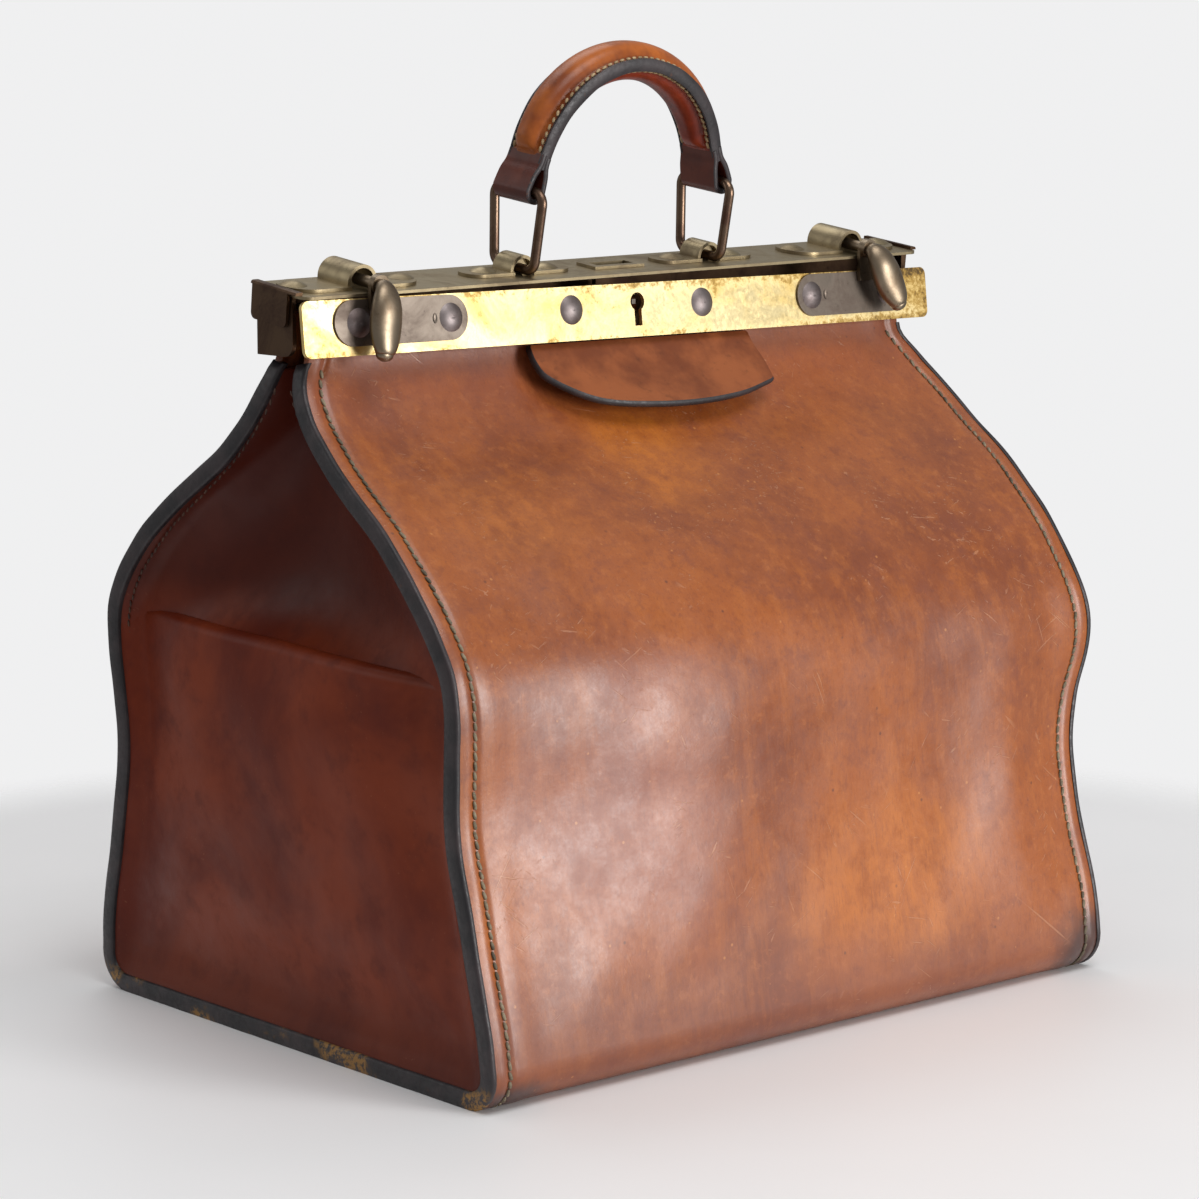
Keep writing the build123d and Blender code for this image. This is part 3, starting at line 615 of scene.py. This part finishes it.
BRASS_FACE = face_brass()
BRASS_TOP = tarnished(
    "top_brass", (0.36, 0.29, 0.175), (0.22, 0.17, 0.105), (0.06, 0.042, 0.026), (0.36, 0.55)
)
# Dark patina of the jaw shell, corner caps and lock case; on the lock bolt the same finish is painted shade.
BRASS_SHELL = tarnished(
    "shell_patina_and_shade", (0.105, 0.062, 0.036), (0.062, 0.034, 0.024), (0.02, 0.012, 0.01), (0.38, 0.6)
)
STEEL_PLATE = tarnished(
    "plate_steel", (0.20, 0.165, 0.135), (0.12, 0.092, 0.075), (0.04, 0.03, 0.026), (0.34, 0.52)
)
STEEL_RIVET = tarnished(
    "rivet_steel", (0.25, 0.215, 0.21), (0.13, 0.10, 0.095), (0.04, 0.026, 0.026), (0.44, 0.56)
)
LATCH_METAL = tarnished(
    "latch_bronze", (0.26, 0.205, 0.145), (0.16, 0.115, 0.075), (0.05, 0.034, 0.023), (0.34, 0.48)
)
LOOP_METAL = tarnished(
    "loop_steel", (0.19, 0.125, 0.085), (0.10, 0.055, 0.04), (0.035, 0.02, 0.015), (0.30, 0.46)
)
FRAME_METAL = tarnished(
    "frame_steel", (0.16, 0.14, 0.12), (0.09, 0.075, 0.065), (0.035, 0.02, 0.015), (0.4, 0.6)
)

FINISHES = {
    "face_plate": BRASS_FACE,
    "face_rivets": STEEL_RIVET,
    "latch_plate_left": STEEL_PLATE,
    "latch_plate_right": STEEL_PLATE,
    "latch_plate_rivets": STEEL_RIVET,
    "front_frame": FRAME_METAL,
    "rear_frame": FRAME_METAL,
    "hinge_pins": FRAME_METAL,
    "packing_strip": board(),
    "rear_packing_strip": board(),
    "bottom_board": board(),
    "lock_case": BRASS_SHELL,
    "lock_pin": FRAME_METAL,
    # The bolt takes the dark shell finish as painted shade for the dark gap where it shows.
    "lock_bolt": BRASS_SHELL,
    "lock_keeper": BRASS_TOP,
    "latch_bracket_left": LATCH_METAL,
    "latch_bracket_right": LATCH_METAL,
    "rear_jaw_shell": BRASS_SHELL,
    "back_rivets": STEEL_RIVET,
    "top_plate": BRASS_TOP,
    "corner_caps": BRASS_SHELL,
    "handle_saddle_left": BRASS_TOP,
    "handle_saddle_right": BRASS_TOP,
    "handle_saddle_rivets": BRASS_TOP,
    "latch_saddle_left": BRASS_TOP,
    "latch_saddle_right": BRASS_TOP,
    "latch_saddle_rivets": BRASS_TOP,
    "latch_left": LATCH_METAL,
    "latch_right": LATCH_METAL,
    "handle_loop_left": LOOP_METAL,
    "handle_loop_right": LOOP_METAL,
}
for node_name, finish in FINISHES.items():
    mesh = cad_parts[node_name].data
    mesh.materials.clear()
    mesh.materials.append(finish)

# ---- the hide ----


def bend_at_shoulder(obj):
    """Bakes the piece's placement into its points."""
    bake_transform(obj)


SIDES = ((-1, "front"), (1, "back"))
ENDS = ((-1, "left"), (1, "right"))

rows_s = np.unique(np.concatenate([np.arange(0, HALF_LENGTH, 3.4), [HALF_LENGTH]]))
row_point, _ = section(rows_s)
row_left = edge_x(-1, row_point[:, 1]) + BAND_WIDTH * 0.6
row_right = edge_x(1, row_point[:, 1]) - BAND_WIDTH * 0.6
CLOSE_ROWS = 40.0  # the columns lie closer together this near to a sewn end
close = np.concatenate([np.arange(0, 18, 1.1), np.arange(18, CLOSE_ROWS, 3.0)])
middle_share = np.linspace(0, 1, 74)[1:-1]

for side, side_name in SIDES:
    grid = []
    for s, left, right in zip(rows_s, row_left, row_right):
        inner_left, inner_right = left + CLOSE_ROWS, right - CLOSE_ROWS
        between = inner_left + (inner_right - inner_left) * middle_share
        x = np.concatenate([left + close, between, (right - close)[::-1]])
        from_edge = np.minimum(x - left, right - x) + BAND_WIDTH * 0.6
        groove = -0.85 * bump(from_edge, STITCH_INSET, 1.5) - 0.5 * bump(from_edge, 1.0, 2.0)
        swell = 0.5 * bump(from_edge, STITCH_INSET + 8, 7) + 0.35 * bump(from_edge, STITCH_INSET - 4, 2.2)
        grid.append(hide_point(x, np.full_like(x, s), side, groove + swell))
    hide = leather_sheet(f"hide_{side_name}", np.array(grid), PANEL, [HIDE], flip=side > 0)
    bend_at_shoulder(hide)
    if side < 0:
        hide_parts("body_leather", "front_panel_upper")
    else:
        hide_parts("back_panel_upper")

# Painted edge round each end, and the seam beside it
band_shape = [(-BAND_WIDTH, 0.0), (-BAND_WIDTH * 0.72, 0.34), (-0.9, 0.3), (-0.25, -0.35), (0.0, -1.5)]
band_shape += [(0.25, -0.5 * BAND_DEPTH), (0.0, 1.5 - BAND_DEPTH), (-0.3, 0.4 - BAND_DEPTH)]
band_shape += [(-1.0, -BAND_DEPTH), (-BAND_WIDTH, -BAND_DEPTH)]
BAND_TOP_Z = 303.0
band_top_s = np.interp(BAND_TOP_Z, HALF[170:, 1], HALF_S[170:])

for side, side_name in SIDES:
    for end, end_name in ENDS:
        s = np.linspace(0, band_top_s, 150)
        p, n = section(s)
        x = edge_x(end, p[:, 1])
        lift = hide_lift(x, p[:, 1], s, side)
        wear = 0.18 * waves(s, s * 0, 11 + end, 26)

        def band_outline(i):
            out = []
            for a, h in band_shape:
                depth = (h + lift[i] + (0.15 if h > -1 else 0)) + wear[i] * (1 if h > -2 else 0.3)
                out.append((x[i] + end * a, side * (p[i, 0] + n[i, 0] * depth), p[i, 1] + n[i, 1] * depth))
            return out if side * end < 0 else out[::-1]

        band = swept(f"edge_{side_name}_{end_name}", s, band_outline, [EDGE])
        bend_at_shoulder(band)

        s = np.arange(STITCH_PITCH / 2, band_top_s - 4, STITCH_PITCH)
        p, n = section(s)
        x = edge_x(end, p[:, 1]) - end * STITCH_INSET
        at = hide_point(x, s, side, -0.65)
        normal = np.stack([np.zeros_like(s), side * n[:, 0], n[:, 1]], axis=-1)
        forward = np.gradient(at, axis=0)
        forward /= np.linalg.norm(forward, axis=1, keepdims=True)
        seam = stitch_row(f"seam_{side_name}_{end_name}", at, normal, forward, THREAD, lean=14.0 * side * end)
        bend_at_shoulder(seam)

# ---- end panels ----

GUSSET_FACE = 186.5  # outer face of an end panel, away from its seams
FLANGE = 12.0
INSIDE = 4.3  # from the outside of the hide to the outside of an end panel's flange
FOLD_INWARD = 29.0


def inset_half(s, amount):
    p, n = section(s)
    return p - n * amount


crease_s = np.interp(CREASE_Z, HALF[170:, 1], HALF_S[170:])
seam_line = inset_half(np.linspace(0, crease_s, 220), INSIDE)
corner_s = BASE_HALF - BASE_RADIUS + BASE_RADIUS * math.pi / 4


def patch(rows, cols):
    """Grid of (y, z) over an end panel below the crease, its rim on the inside of the hide."""
    u = np.linspace(-1, 1, cols)
    v = np.linspace(0, 1, rows)
    bottom = inset_half(np.abs(u) * corner_s, INSIDE) * np.stack([np.sign(u), np.ones_like(u)], axis=-1)
    right = inset_half(corner_s + (crease_s - corner_s) * v, INSIDE)
    left = right * np.array([-1.0, 1.0])
    top = np.stack([u * right[-1, 0], np.full_like(u, right[-1, 1])], axis=-1)
    share = ((u + 1) / 2)[None, :, None]
    rise = v[:, None, None]
    sides = left[:, None] * (1 - share) + right[:, None] * share
    levels = bottom[None] * (1 - rise) + top[None] * rise
    corners = (left[0] * (1 - share) + right[0] * share) * (1 - rise) + (
        left[-1] * (1 - share) + right[-1] * share
    ) * rise
    return sides + levels - corners


def rim_distance(yz):
    """Distance of each grid point from the sewn rim: bottom and both sides, not the crease."""
    rim = np.vstack([seam_line, seam_line * np.array([-1.0, 1.0])])
    flat_points = yz.reshape(-1, 2)
    best = np.full(len(flat_points), 1e9)
    for q in rim[::2]:
        best = np.minimum(best, np.hypot(flat_points[:, 0] - q[0], flat_points[:, 1] - q[1]))
    return best.reshape(yz.shape[:2])


def end_face(end, y, z, d):
    """How far an end panel stands out below the crease, at distance d from its sewn rim."""
    rim = np.abs(edge_x(end, z)) - BAND_WIDTH * 0.5
    flange = smoothstep(d / FLANGE)
    pillow = 4.6 * smoothstep((d - 4) / 64) + 2.4 * bump(z, 146, 30) * bump(y, 40, 70) * smoothstep(d / 40)
    trough = -3.4 * bump(z, 34, 20) * smoothstep((d - 6) / 16)
    trough = trough - 1.2 * smoothstep((d - 4) / 10) * (1 - smoothstep((d - 14) / 40))
    wobble = 0.8 * waves(y, z, 21 + end, 80) * smoothstep((d - 6) / 20)
    lean = 1.6 * bump(y, 40 * end, 50) * bump(z, 140, 36)
    return rim * (1 - flange) + (GUSSET_FACE + pillow + trough + wobble + lean) * flange


ROLL = ((1.6, 0.6), (2.9, 2.6), (3.4, 5.6), (3.0, 9.0), (1.8, 13.0))  # how the crease turns in: up, inward

LOWER_THICK, UPPER_THICK = 2.6, 2.2  # leather below the crease and above it

for end, end_name in ENDS:
    yz = patch(64, 96)
    d = rim_distance(yz)
    y, z = yz[..., 0], yz[..., 1].copy()
    tilt = 3.5 * (y / 110.0) * smoothstep((z - 90) / 85)
    x = end_face(end, y, z, d)
    z = z + tilt * smoothstep(d / 14)
    low = np.stack([end * x, y, z], axis=-1)
    extra = []
    for up, inward in ROLL:
        row = low[-1].copy()
        hold = smoothstep(d[-1] / 10)
        row[:, 2] += up * hold + up * 0.3
        row[:, 0] -= end * inward * (0.25 + 0.75 * hold)
        extra.append(row[None])
    low = np.concatenate([low, *extra])
    lower = leather_sheet(f"end_panel_lower_{end_name}", low, LOWER_THICK, [GUSSET], flip=end < 0)
    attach(lower, "body")
    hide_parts(f"gusset_lower_{end_name}")

    neck_s = np.interp(300.0, HALF[170:, 1], HALF_S[170:])
    s = np.linspace(crease_s - 2, neck_s, 46)
    seam = inset_half(s, INSIDE)
    across = np.linspace(0, 1, 30)
    rise = (s - s[0]) / (s[-1] - s[0])
    for side, side_name in SIDES:
        rows, weights = [], []
        for (half, height), q in zip(seam, rise):
            inside = FOLD_INWARD * (1 - math.exp(-max(height - CREASE_Z, 0) / 15.0))
            y = half * (1 - across)
            run = np.minimum((half - y) / FLANGE, 1)
            rim = abs(edge_x(end, height)) - BAND_WIDTH * 0.5
            valley = 1 - (1 - smoothstep(across)) ** 1.15
            x_in = GUSSET_FACE - 1.0 - inside * valley - 1.2 * math.sin(math.pi * q) * bump(across, 0.5, 0.25)
            x = rim * (1 - smoothstep(run)) + x_in * smoothstep(run)
            z = height + 3.5 * (side * y / 110.0) * smoothstep(run) * (1 - q) - 2.0 * (1 - q)
            rows.append(np.stack([end * x, side * y, z], axis=-1))
            w_here = smoothstep((z - FOLD_START) / (FOLD_END - FOLD_START))
            weights.append(w_here * (1 - smoothstep((across - 0.14) / 0.86)) * smoothstep(q * 9))
        grid = np.array(rows)
        title = f"end_panel_{side_name}_{end_name}"
        piece = leather_sheet(title, grid, UPPER_THICK, [GUSSET], flip=side * end > 0)
        bend_at_shoulder(piece)
        count = grid.shape[0] * grid.shape[1]
        w = np.array(weights).ravel()
        rim_w = w[rim_loop(*grid.shape[:2])]
        w = np.concatenate([w, w, rim_w, rim_w, rim_w]).astype(np.float32)
        if side < 0:
            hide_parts(f"gusset_upper_{end_name}")

        # dark stitches on the flange, seen from the end
        s_st = np.arange(6, neck_s - 6, STITCH_PITCH)
        p, n = section(s_st)
        at_yz = p - n * (INSIDE + 5.5)
        rim = np.abs(edge_x(end, p[:, 1])) - BAND_WIDTH * 0.5
        share = smoothstep(np.full_like(s_st, 5.5 / FLANGE))
        x = rim * (1 - share) + (GUSSET_FACE + np.where(p[:, 1] < CREASE_Z, -2.6, -1.0)) * share
        at = np.stack([end * (x + 0.1), side * at_yz[:, 0], at_yz[:, 1]], axis=-1)
        normal = np.stack([np.full_like(s_st, end * 0.92), -side * n[:, 0] * 0.4, -n[:, 1] * 0.4], axis=-1)
        normal /= np.linalg.norm(normal, axis=1, keepdims=True)
        forward = np.gradient(at, axis=0)
        forward -= normal * np.sum(forward * normal, axis=1, keepdims=True)
        forward /= np.linalg.norm(forward, axis=1, keepdims=True)
        title = f"flange_seam_{side_name}_{end_name}"
        row = stitch_row(title, at, normal, forward, DARK_THREAD, (3.0, 1.1, 0.9), 10)
        bend_at_shoulder(row)

# ---- lock tab ----

TAB_TOP = (-15.5, 302.4)
TAB_TURN = math.radians(40)
TAB_THICK = 3.6
TAB_BELOW = [(-63, -1), (-63.5, -9), (-60, -18), (-39, -31), (-12, -36), (18, -37), (46, -34.5), (70.5, -28)]
tab_rim = curve_through(TAB_BELOW)
tab_rim = np.vstack([tab_rim, curve_through([(71, -27), (71.6, -17), (70.6, -7), (71, -1)])])
u = np.linspace(0, 1, 90)
rim_points = walk(tab_rim, u * lengths(tab_rim)[-1])
tab_down = np.array([0, -math.sin(TAB_TURN), -math.cos(TAB_TURN)])
tab_out = np.array([0, -math.cos(TAB_TURN), math.sin(TAB_TURN)])
tab_rows = []
for t in np.linspace(0, 1, 22):
    top_x = -62 + 132 * u
    px = top_x * (1 - t) + rim_points[:, 0] * t
    down = -rim_points[:, 1] * t
    curl = 2.2 * (down / 37.0) ** 2 - 1.6 * np.sin(math.pi * np.clip(down / 37.0, 0, 1)) * bump(px, 0, 60)
    curl = curl + 0.5 * waves(px, down, 31, 60) * t
    lift = TAB_THICK + curl
    base = np.array([0, TAB_TOP[0], TAB_TOP[1]])
    tab_rows.append(base + px[:, None] * [1, 0, 0] + down[:, None] * tab_down + lift[:, None] * tab_out)
tab = leather_sheet("lock_tab_leather", np.array(tab_rows), TAB_THICK, [TAB, EDGE], flip=True)
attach(tab, "front_side")
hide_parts("lock_tab")

# ---- handle ----

TOP_Z = 337.3
TILT, ROLL_ANGLE = math.radians(7.5), math.radians(-1.0)
HANDLE_X = 57.0
HANDLE_LOW = 38.1
ARCH_R = 53.0
ARCH_UP = 3.0
turn_x = np.array(
    [[1, 0, 0], [0, math.cos(TILT), -math.sin(TILT)], [0, math.sin(TILT), math.cos(TILT)]]
)
turn_y = np.array(
    [
        [math.cos(ROLL_ANGLE), 0, math.sin(ROLL_ANGLE)],
        [0, 1, 0],
        [-math.sin(ROLL_ANGLE), 0, math.cos(ROLL_ANGLE)],
    ]
)
JAW_TURN = turn_x @ turn_y


def on_jaw(points):
    """From the top plate's own frame to the bag's."""
    return np.asarray(points, float) @ JAW_TURN.T + np.array([0, 0, TOP_Z])


# Middle line of the grip, as (x, height) above the top plate
reach = math.hypot(HANDLE_X, ARCH_UP)
leg_angle = math.acos(ARCH_R / reach) - math.atan2(ARCH_UP, HANDLE_X)
arc = np.linspace(math.pi - leg_angle, leg_angle, 90)
grip_line = np.stack([ARCH_R * np.cos(arc), HANDLE_LOW + ARCH_UP + ARCH_R * np.sin(arc)], axis=-1)
leg_left = np.array([(-HANDLE_X, HANDLE_LOW)])
grip_line = np.vstack([leg_left, grip_line, leg_left * [-1, 1]])
grip_length = lengths(grip_line)[-1]
at_s = np.linspace(10.5, grip_length - 10.5, 150)
grip = walk(grip_line, at_s)
grip_along = np.gradient(grip, axis=0)
grip_along /= np.linalg.norm(grip_along, axis=1, keepdims=True)
grip_out = np.stack([-grip_along[:, 1], grip_along[:, 0]], axis=-1)
from_foot = np.minimum(at_s, grip_length - at_s)
fullness = smoothstep((from_foot - 15) / 9)

HALF_WIDTH = 11.0 + 2.4 * smoothstep((from_foot - 6) / 50)
PLY = 2.7  # thickness of each leather at the sewn edge


def grip_layer(obj_name, sign, crown, material):
    """One leather of the grip: a dome over the core with a flat sewn margin on each side."""
    a = np.linspace(-1, 1, 49)
    rows = []
    for (gx, gz), (nx, nz), full, wide in zip(grip, grip_out, fullness, HALF_WIDTH):
        across_y = a * wide
        in_edge = wide - np.abs(across_y)
        dome = np.clip(1 - (np.abs(across_y) / (wide - 4.4)) ** 2.4, 0, 1) ** 0.6
        over_core = crown * full**0.5 * dome * smoothstep(full * 3)
        h = sign * (PLY + over_core - 0.45 * bump(in_edge, 2.0, 0.8) * full)
        rows.append(on_jaw(np.stack([gx + nx * h, across_y, gz + nz * h], axis=-1)))
    layer = leather_sheet(obj_name, np.array(rows), PLY - 0.1, [material, EDGE], flip=sign > 0, round_by=0.1)
    columns = len(a) - 1
    margin = np.minimum(np.arange(columns), columns - 1 - np.arange(columns)) < 4
    kinds = np.zeros(len(layer.data.polygons), np.int32)
    layer.data.polygons.foreach_get("material_index", kinds)
    kinds[: (len(grip) - 1) * columns] = np.tile(margin, len(grip) - 1)
    layer.data.polygons.foreach_set("material_index", kinds)
    return layer


upper = grip_layer("grip_upper", 1, 6.6, GRIP)
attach(upper, "handle")
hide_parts("handle_leather_upper")
under = grip_layer("grip_under", -1, 5.6, GRIP_UNDER)
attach(under, "handle")
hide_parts("handle_leather_lower", "handle_core")

GRIP_SEAM_FOOT = 19  # where the grip's sewing starts, along its middle line
GRIP_PITCH = 3.4

# Painted edges of the grip, over both leathers
for side, side_name in SIDES:
    rim = PLY + 0.12
    outline = [(0.1 + 0.5 * (1 - t * t), rim * t) for t in np.linspace(-1, 1, 15)]
    outline += [(-0.9, rim), (-0.9, -rim)]

    def grip_edge(i):
        pts = []
        for a, h in outline:
            gx, gz = grip[i] + grip_out[i] * h * (1.03 + 0.03 * math.sin(at_s[i] * 0.31 + side))
            pts.append((gx, side * (HALF_WIDTH[i] + a), gz))
        return on_jaw(pts if side < 0 else pts[::-1])

    grip_band = swept(f"grip_edge_{side_name}", at_s, grip_edge, [EDGE])
    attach(grip_band, "handle")
    for sign, where in ((1, "upper"), (-1, "under")):
        st = np.arange(GRIP_SEAM_FOOT, grip_length - GRIP_SEAM_FOOT, GRIP_PITCH)
        centre = walk(grip_line, st)
        tan = np.gradient(centre, axis=0)
        tan /= np.linalg.norm(tan, axis=1, keepdims=True)
        out = np.stack([-tan[:, 1], tan[:, 0]], axis=-1) * sign
        spot = centre + out * (PLY - 0.2)
        inset_y = np.interp(st, at_s, HALF_WIDTH) - 2.4
        at = on_jaw(np.stack([spot[:, 0], side * inset_y, spot[:, 1]], axis=-1))
        nrm = np.stack([out[:, 0], np.zeros(len(st)), out[:, 1]], axis=-1) @ JAW_TURN.T
        fwd = np.stack([tan[:, 0], np.zeros(len(st)), tan[:, 1]], axis=-1) @ JAW_TURN.T
        row = stitch_row(f"grip_seam_{where}_{side_name}", at, nrm, fwd, GRIP_THREAD, (3.0, 1.6, 1.5), 18)
        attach(row, "handle")

# Straps folded round the loops
STRAP_HALF = 11.7
STRAP_THICK = 2.6
FOLD_R = 5.6
for end, end_name in ENDS:
    foot = np.array([end * HANDLE_X, HANDLE_LOW])
    leg_x, leg_z = walk(grip_line, np.array([20.0]))[0]
    up = np.array([end * abs(leg_x), leg_z]) - foot
    up /= np.linalg.norm(up)
    out = np.array([up[1], -up[0]]) * end
    path = [foot + up * 17 + out * (PLY + 0.05), foot + up * 12 + out * (PLY + 0.3)]
    path.append(foot + up * 7 + out * 4.7)
    for angle in np.radians(np.arange(0, 181, 15)):
        path.append(foot + (out * math.cos(angle) - up * math.sin(angle)) * FOLD_R)
    path += [foot + up * 7 - out * 4.5, foot + up * 12 - out * (PLY + 0.25)]
    path.append(foot + up * 16 - out * (PLY + 0.05))
    line = curve_through(path, 6)
    line = walk(line, np.linspace(0, lengths(line)[-1], 64))
    a = np.linspace(-1, 1, 15)
    rows = []
    for lx, lz in line:
        y = a * STRAP_HALF
        rows.append(on_jaw(np.stack([np.full_like(y, lx), y, np.full_like(y, lz)], axis=-1)))
    sheet = np.array(rows)
    strap = leather_sheet(f"strap_{end_name}", sheet, STRAP_THICK, [STRAP, EDGE], flip=end > 0, round_by=0.2)
    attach(strap, "handle")
    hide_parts(f"handle_strap_{end_name}")

# ---- floor, light and camera ----

FLOOR_R = 0.60


def make_floor():
    """A round pale floor whose rim fades into the background."""
    count, rings = 96, 14
    turns = np.linspace(0, 2 * math.pi, count, endpoint=False)
    verts, faces = [(0, 0, 0)], []
    for k in range(1, rings + 1):
        r = FLOOR_R * k / rings
        verts += [(r * math.cos(a), r * math.sin(a), 0) for a in turns]
    faces += [(0, 1 + i, 1 + (i + 1) % count) for i in range(count)]
    for k in range(rings - 1):
        a = 1 + k * count
        for i in range(count):
            j = (i + 1) % count
            faces.append((a + i, a + count + i, a + count + j, a + j))
    mesh = bpy.data.meshes.new("floor")
    mesh.from_pydata(verts, [], faces)
    obj = bpy.data.objects.new("floor", mesh)
    bpy.context.scene.collection.objects.link(obj)
    mat = bpy.data.materials.new("floor_pale")
    mat.use_nodes = True
    tree = mat.node_tree
    link = tree.links.new
    shader = tree.nodes["Principled BSDF"]
    grain = tree.nodes.new("ShaderNodeTexNoise")
    grain.inputs["Scale"].default_value = 14.0
    tint = tree.nodes.new("ShaderNodeMix")
    tint.data_type = "RGBA"
    tint.inputs[6].default_value = (0.93, 0.93, 0.935, 1)
    tint.inputs[7].default_value = (0.97, 0.965, 0.97, 1)
    link(grain.outputs["Fac"], tint.inputs[0])
    link(tint.outputs[2], shader.inputs["Base Color"])
    shader.inputs["Roughness"].default_value = 0.5
    clear = tree.nodes.new("ShaderNodeBsdfTransparent")
    mix = tree.nodes.new("ShaderNodeMixShader")
    where = tree.nodes.new("ShaderNodeTexCoord")
    length = tree.nodes.new("ShaderNodeVectorMath")
    length.operation = "LENGTH"
    fade = tree.nodes.new("ShaderNodeMapRange")
    fade.interpolation_type = "SMOOTHSTEP"
    fade.inputs["From Min"].default_value = FLOOR_R * 0.80
    fade.inputs["From Max"].default_value = FLOOR_R * 0.995
    link(where.outputs["Object"], length.inputs[0])
    link(length.outputs["Value"], fade.inputs["Value"])
    link(fade.outputs["Result"], mix.inputs[0])
    link(shader.outputs[0], mix.inputs[1])
    link(clear.outputs[0], mix.inputs[2])
    link(mix.outputs[0], tree.nodes["Material Output"].inputs["Surface"])
    mesh.materials.append(mat)


def area_light(light_name, azimuth, elevation, distance, width, height, power, tint=(1, 1, 1)):
    """A soft light that looks at the bag from a direction; azimuth 0 is in front, positive to the right."""
    a, e = math.radians(azimuth), math.radians(elevation)
    towards = Vector((math.sin(a) * math.cos(e), -math.cos(a) * math.cos(e), math.sin(e)))
    light = bpy.data.lights.new(light_name, "AREA")
    light.shape = "RECTANGLE"
    light.size, light.size_y = width, height
    light.energy = power
    light.color = tint
    obj = bpy.data.objects.new(light_name, light)
    obj.location = Vector((0, 0, 0.17)) + towards * distance
    obj.rotation_mode = "QUATERNION"
    obj.rotation_quaternion = towards.to_track_quat("Z", "Y")
    bpy.context.scene.collection.objects.link(obj)


make_floor()
area_light("window", 20, 3, 2.2, 0.70, 1.1, 33, (1.0, 0.99, 0.98))
area_light("above_front", -6, 62, 2.1, 1.3, 1.0, 20)
area_light("left_wall", -128, 24, 2.2, 1.4, 1.0, 3.4)
area_light("above_back", 165, 60, 2.0, 1.4, 1.0, 8)

world = bpy.data.worlds.new("studio")
bpy.context.scene.world = world
world.use_nodes = True
world_nodes, link = world.node_tree.nodes, world.node_tree.links.new
room = world_nodes["Background"]
room.inputs["Color"].default_value = (0.93, 0.935, 0.94, 1)
room.inputs["Strength"].default_value = 0.34
backdrop = world_nodes.new("ShaderNodeBackground")
backdrop.inputs["Color"].default_value = (0.87, 0.87, 0.875, 1)
backdrop.inputs["Strength"].default_value = 1.0
seen = world_nodes.new("ShaderNodeLightPath")
either = world_nodes.new("ShaderNodeMixShader")
link(seen.outputs["Is Camera Ray"], either.inputs[0])
link(room.outputs[0], either.inputs[1])
link(backdrop.outputs[0], either.inputs[2])
link(either.outputs[0], world_nodes["World Output"].inputs["Surface"])

camera_data = bpy.data.cameras.new("camera")
camera_data.lens = 108.55
camera_data.sensor_width = 36.0
camera = bpy.data.objects.new("camera", camera_data)
camera.location = (-1.10285, -1.25935, 0.43558)
camera.rotation_mode = "QUATERNION"
camera.rotation_quaternion = Vector((-0.64948, -0.74538, 0.15029)).to_track_quat("Z", "Y")
bpy.context.scene.collection.objects.link(camera)
bpy.context.scene.camera = camera
bpy.context.scene.view_settings.view_transform = "Standard"
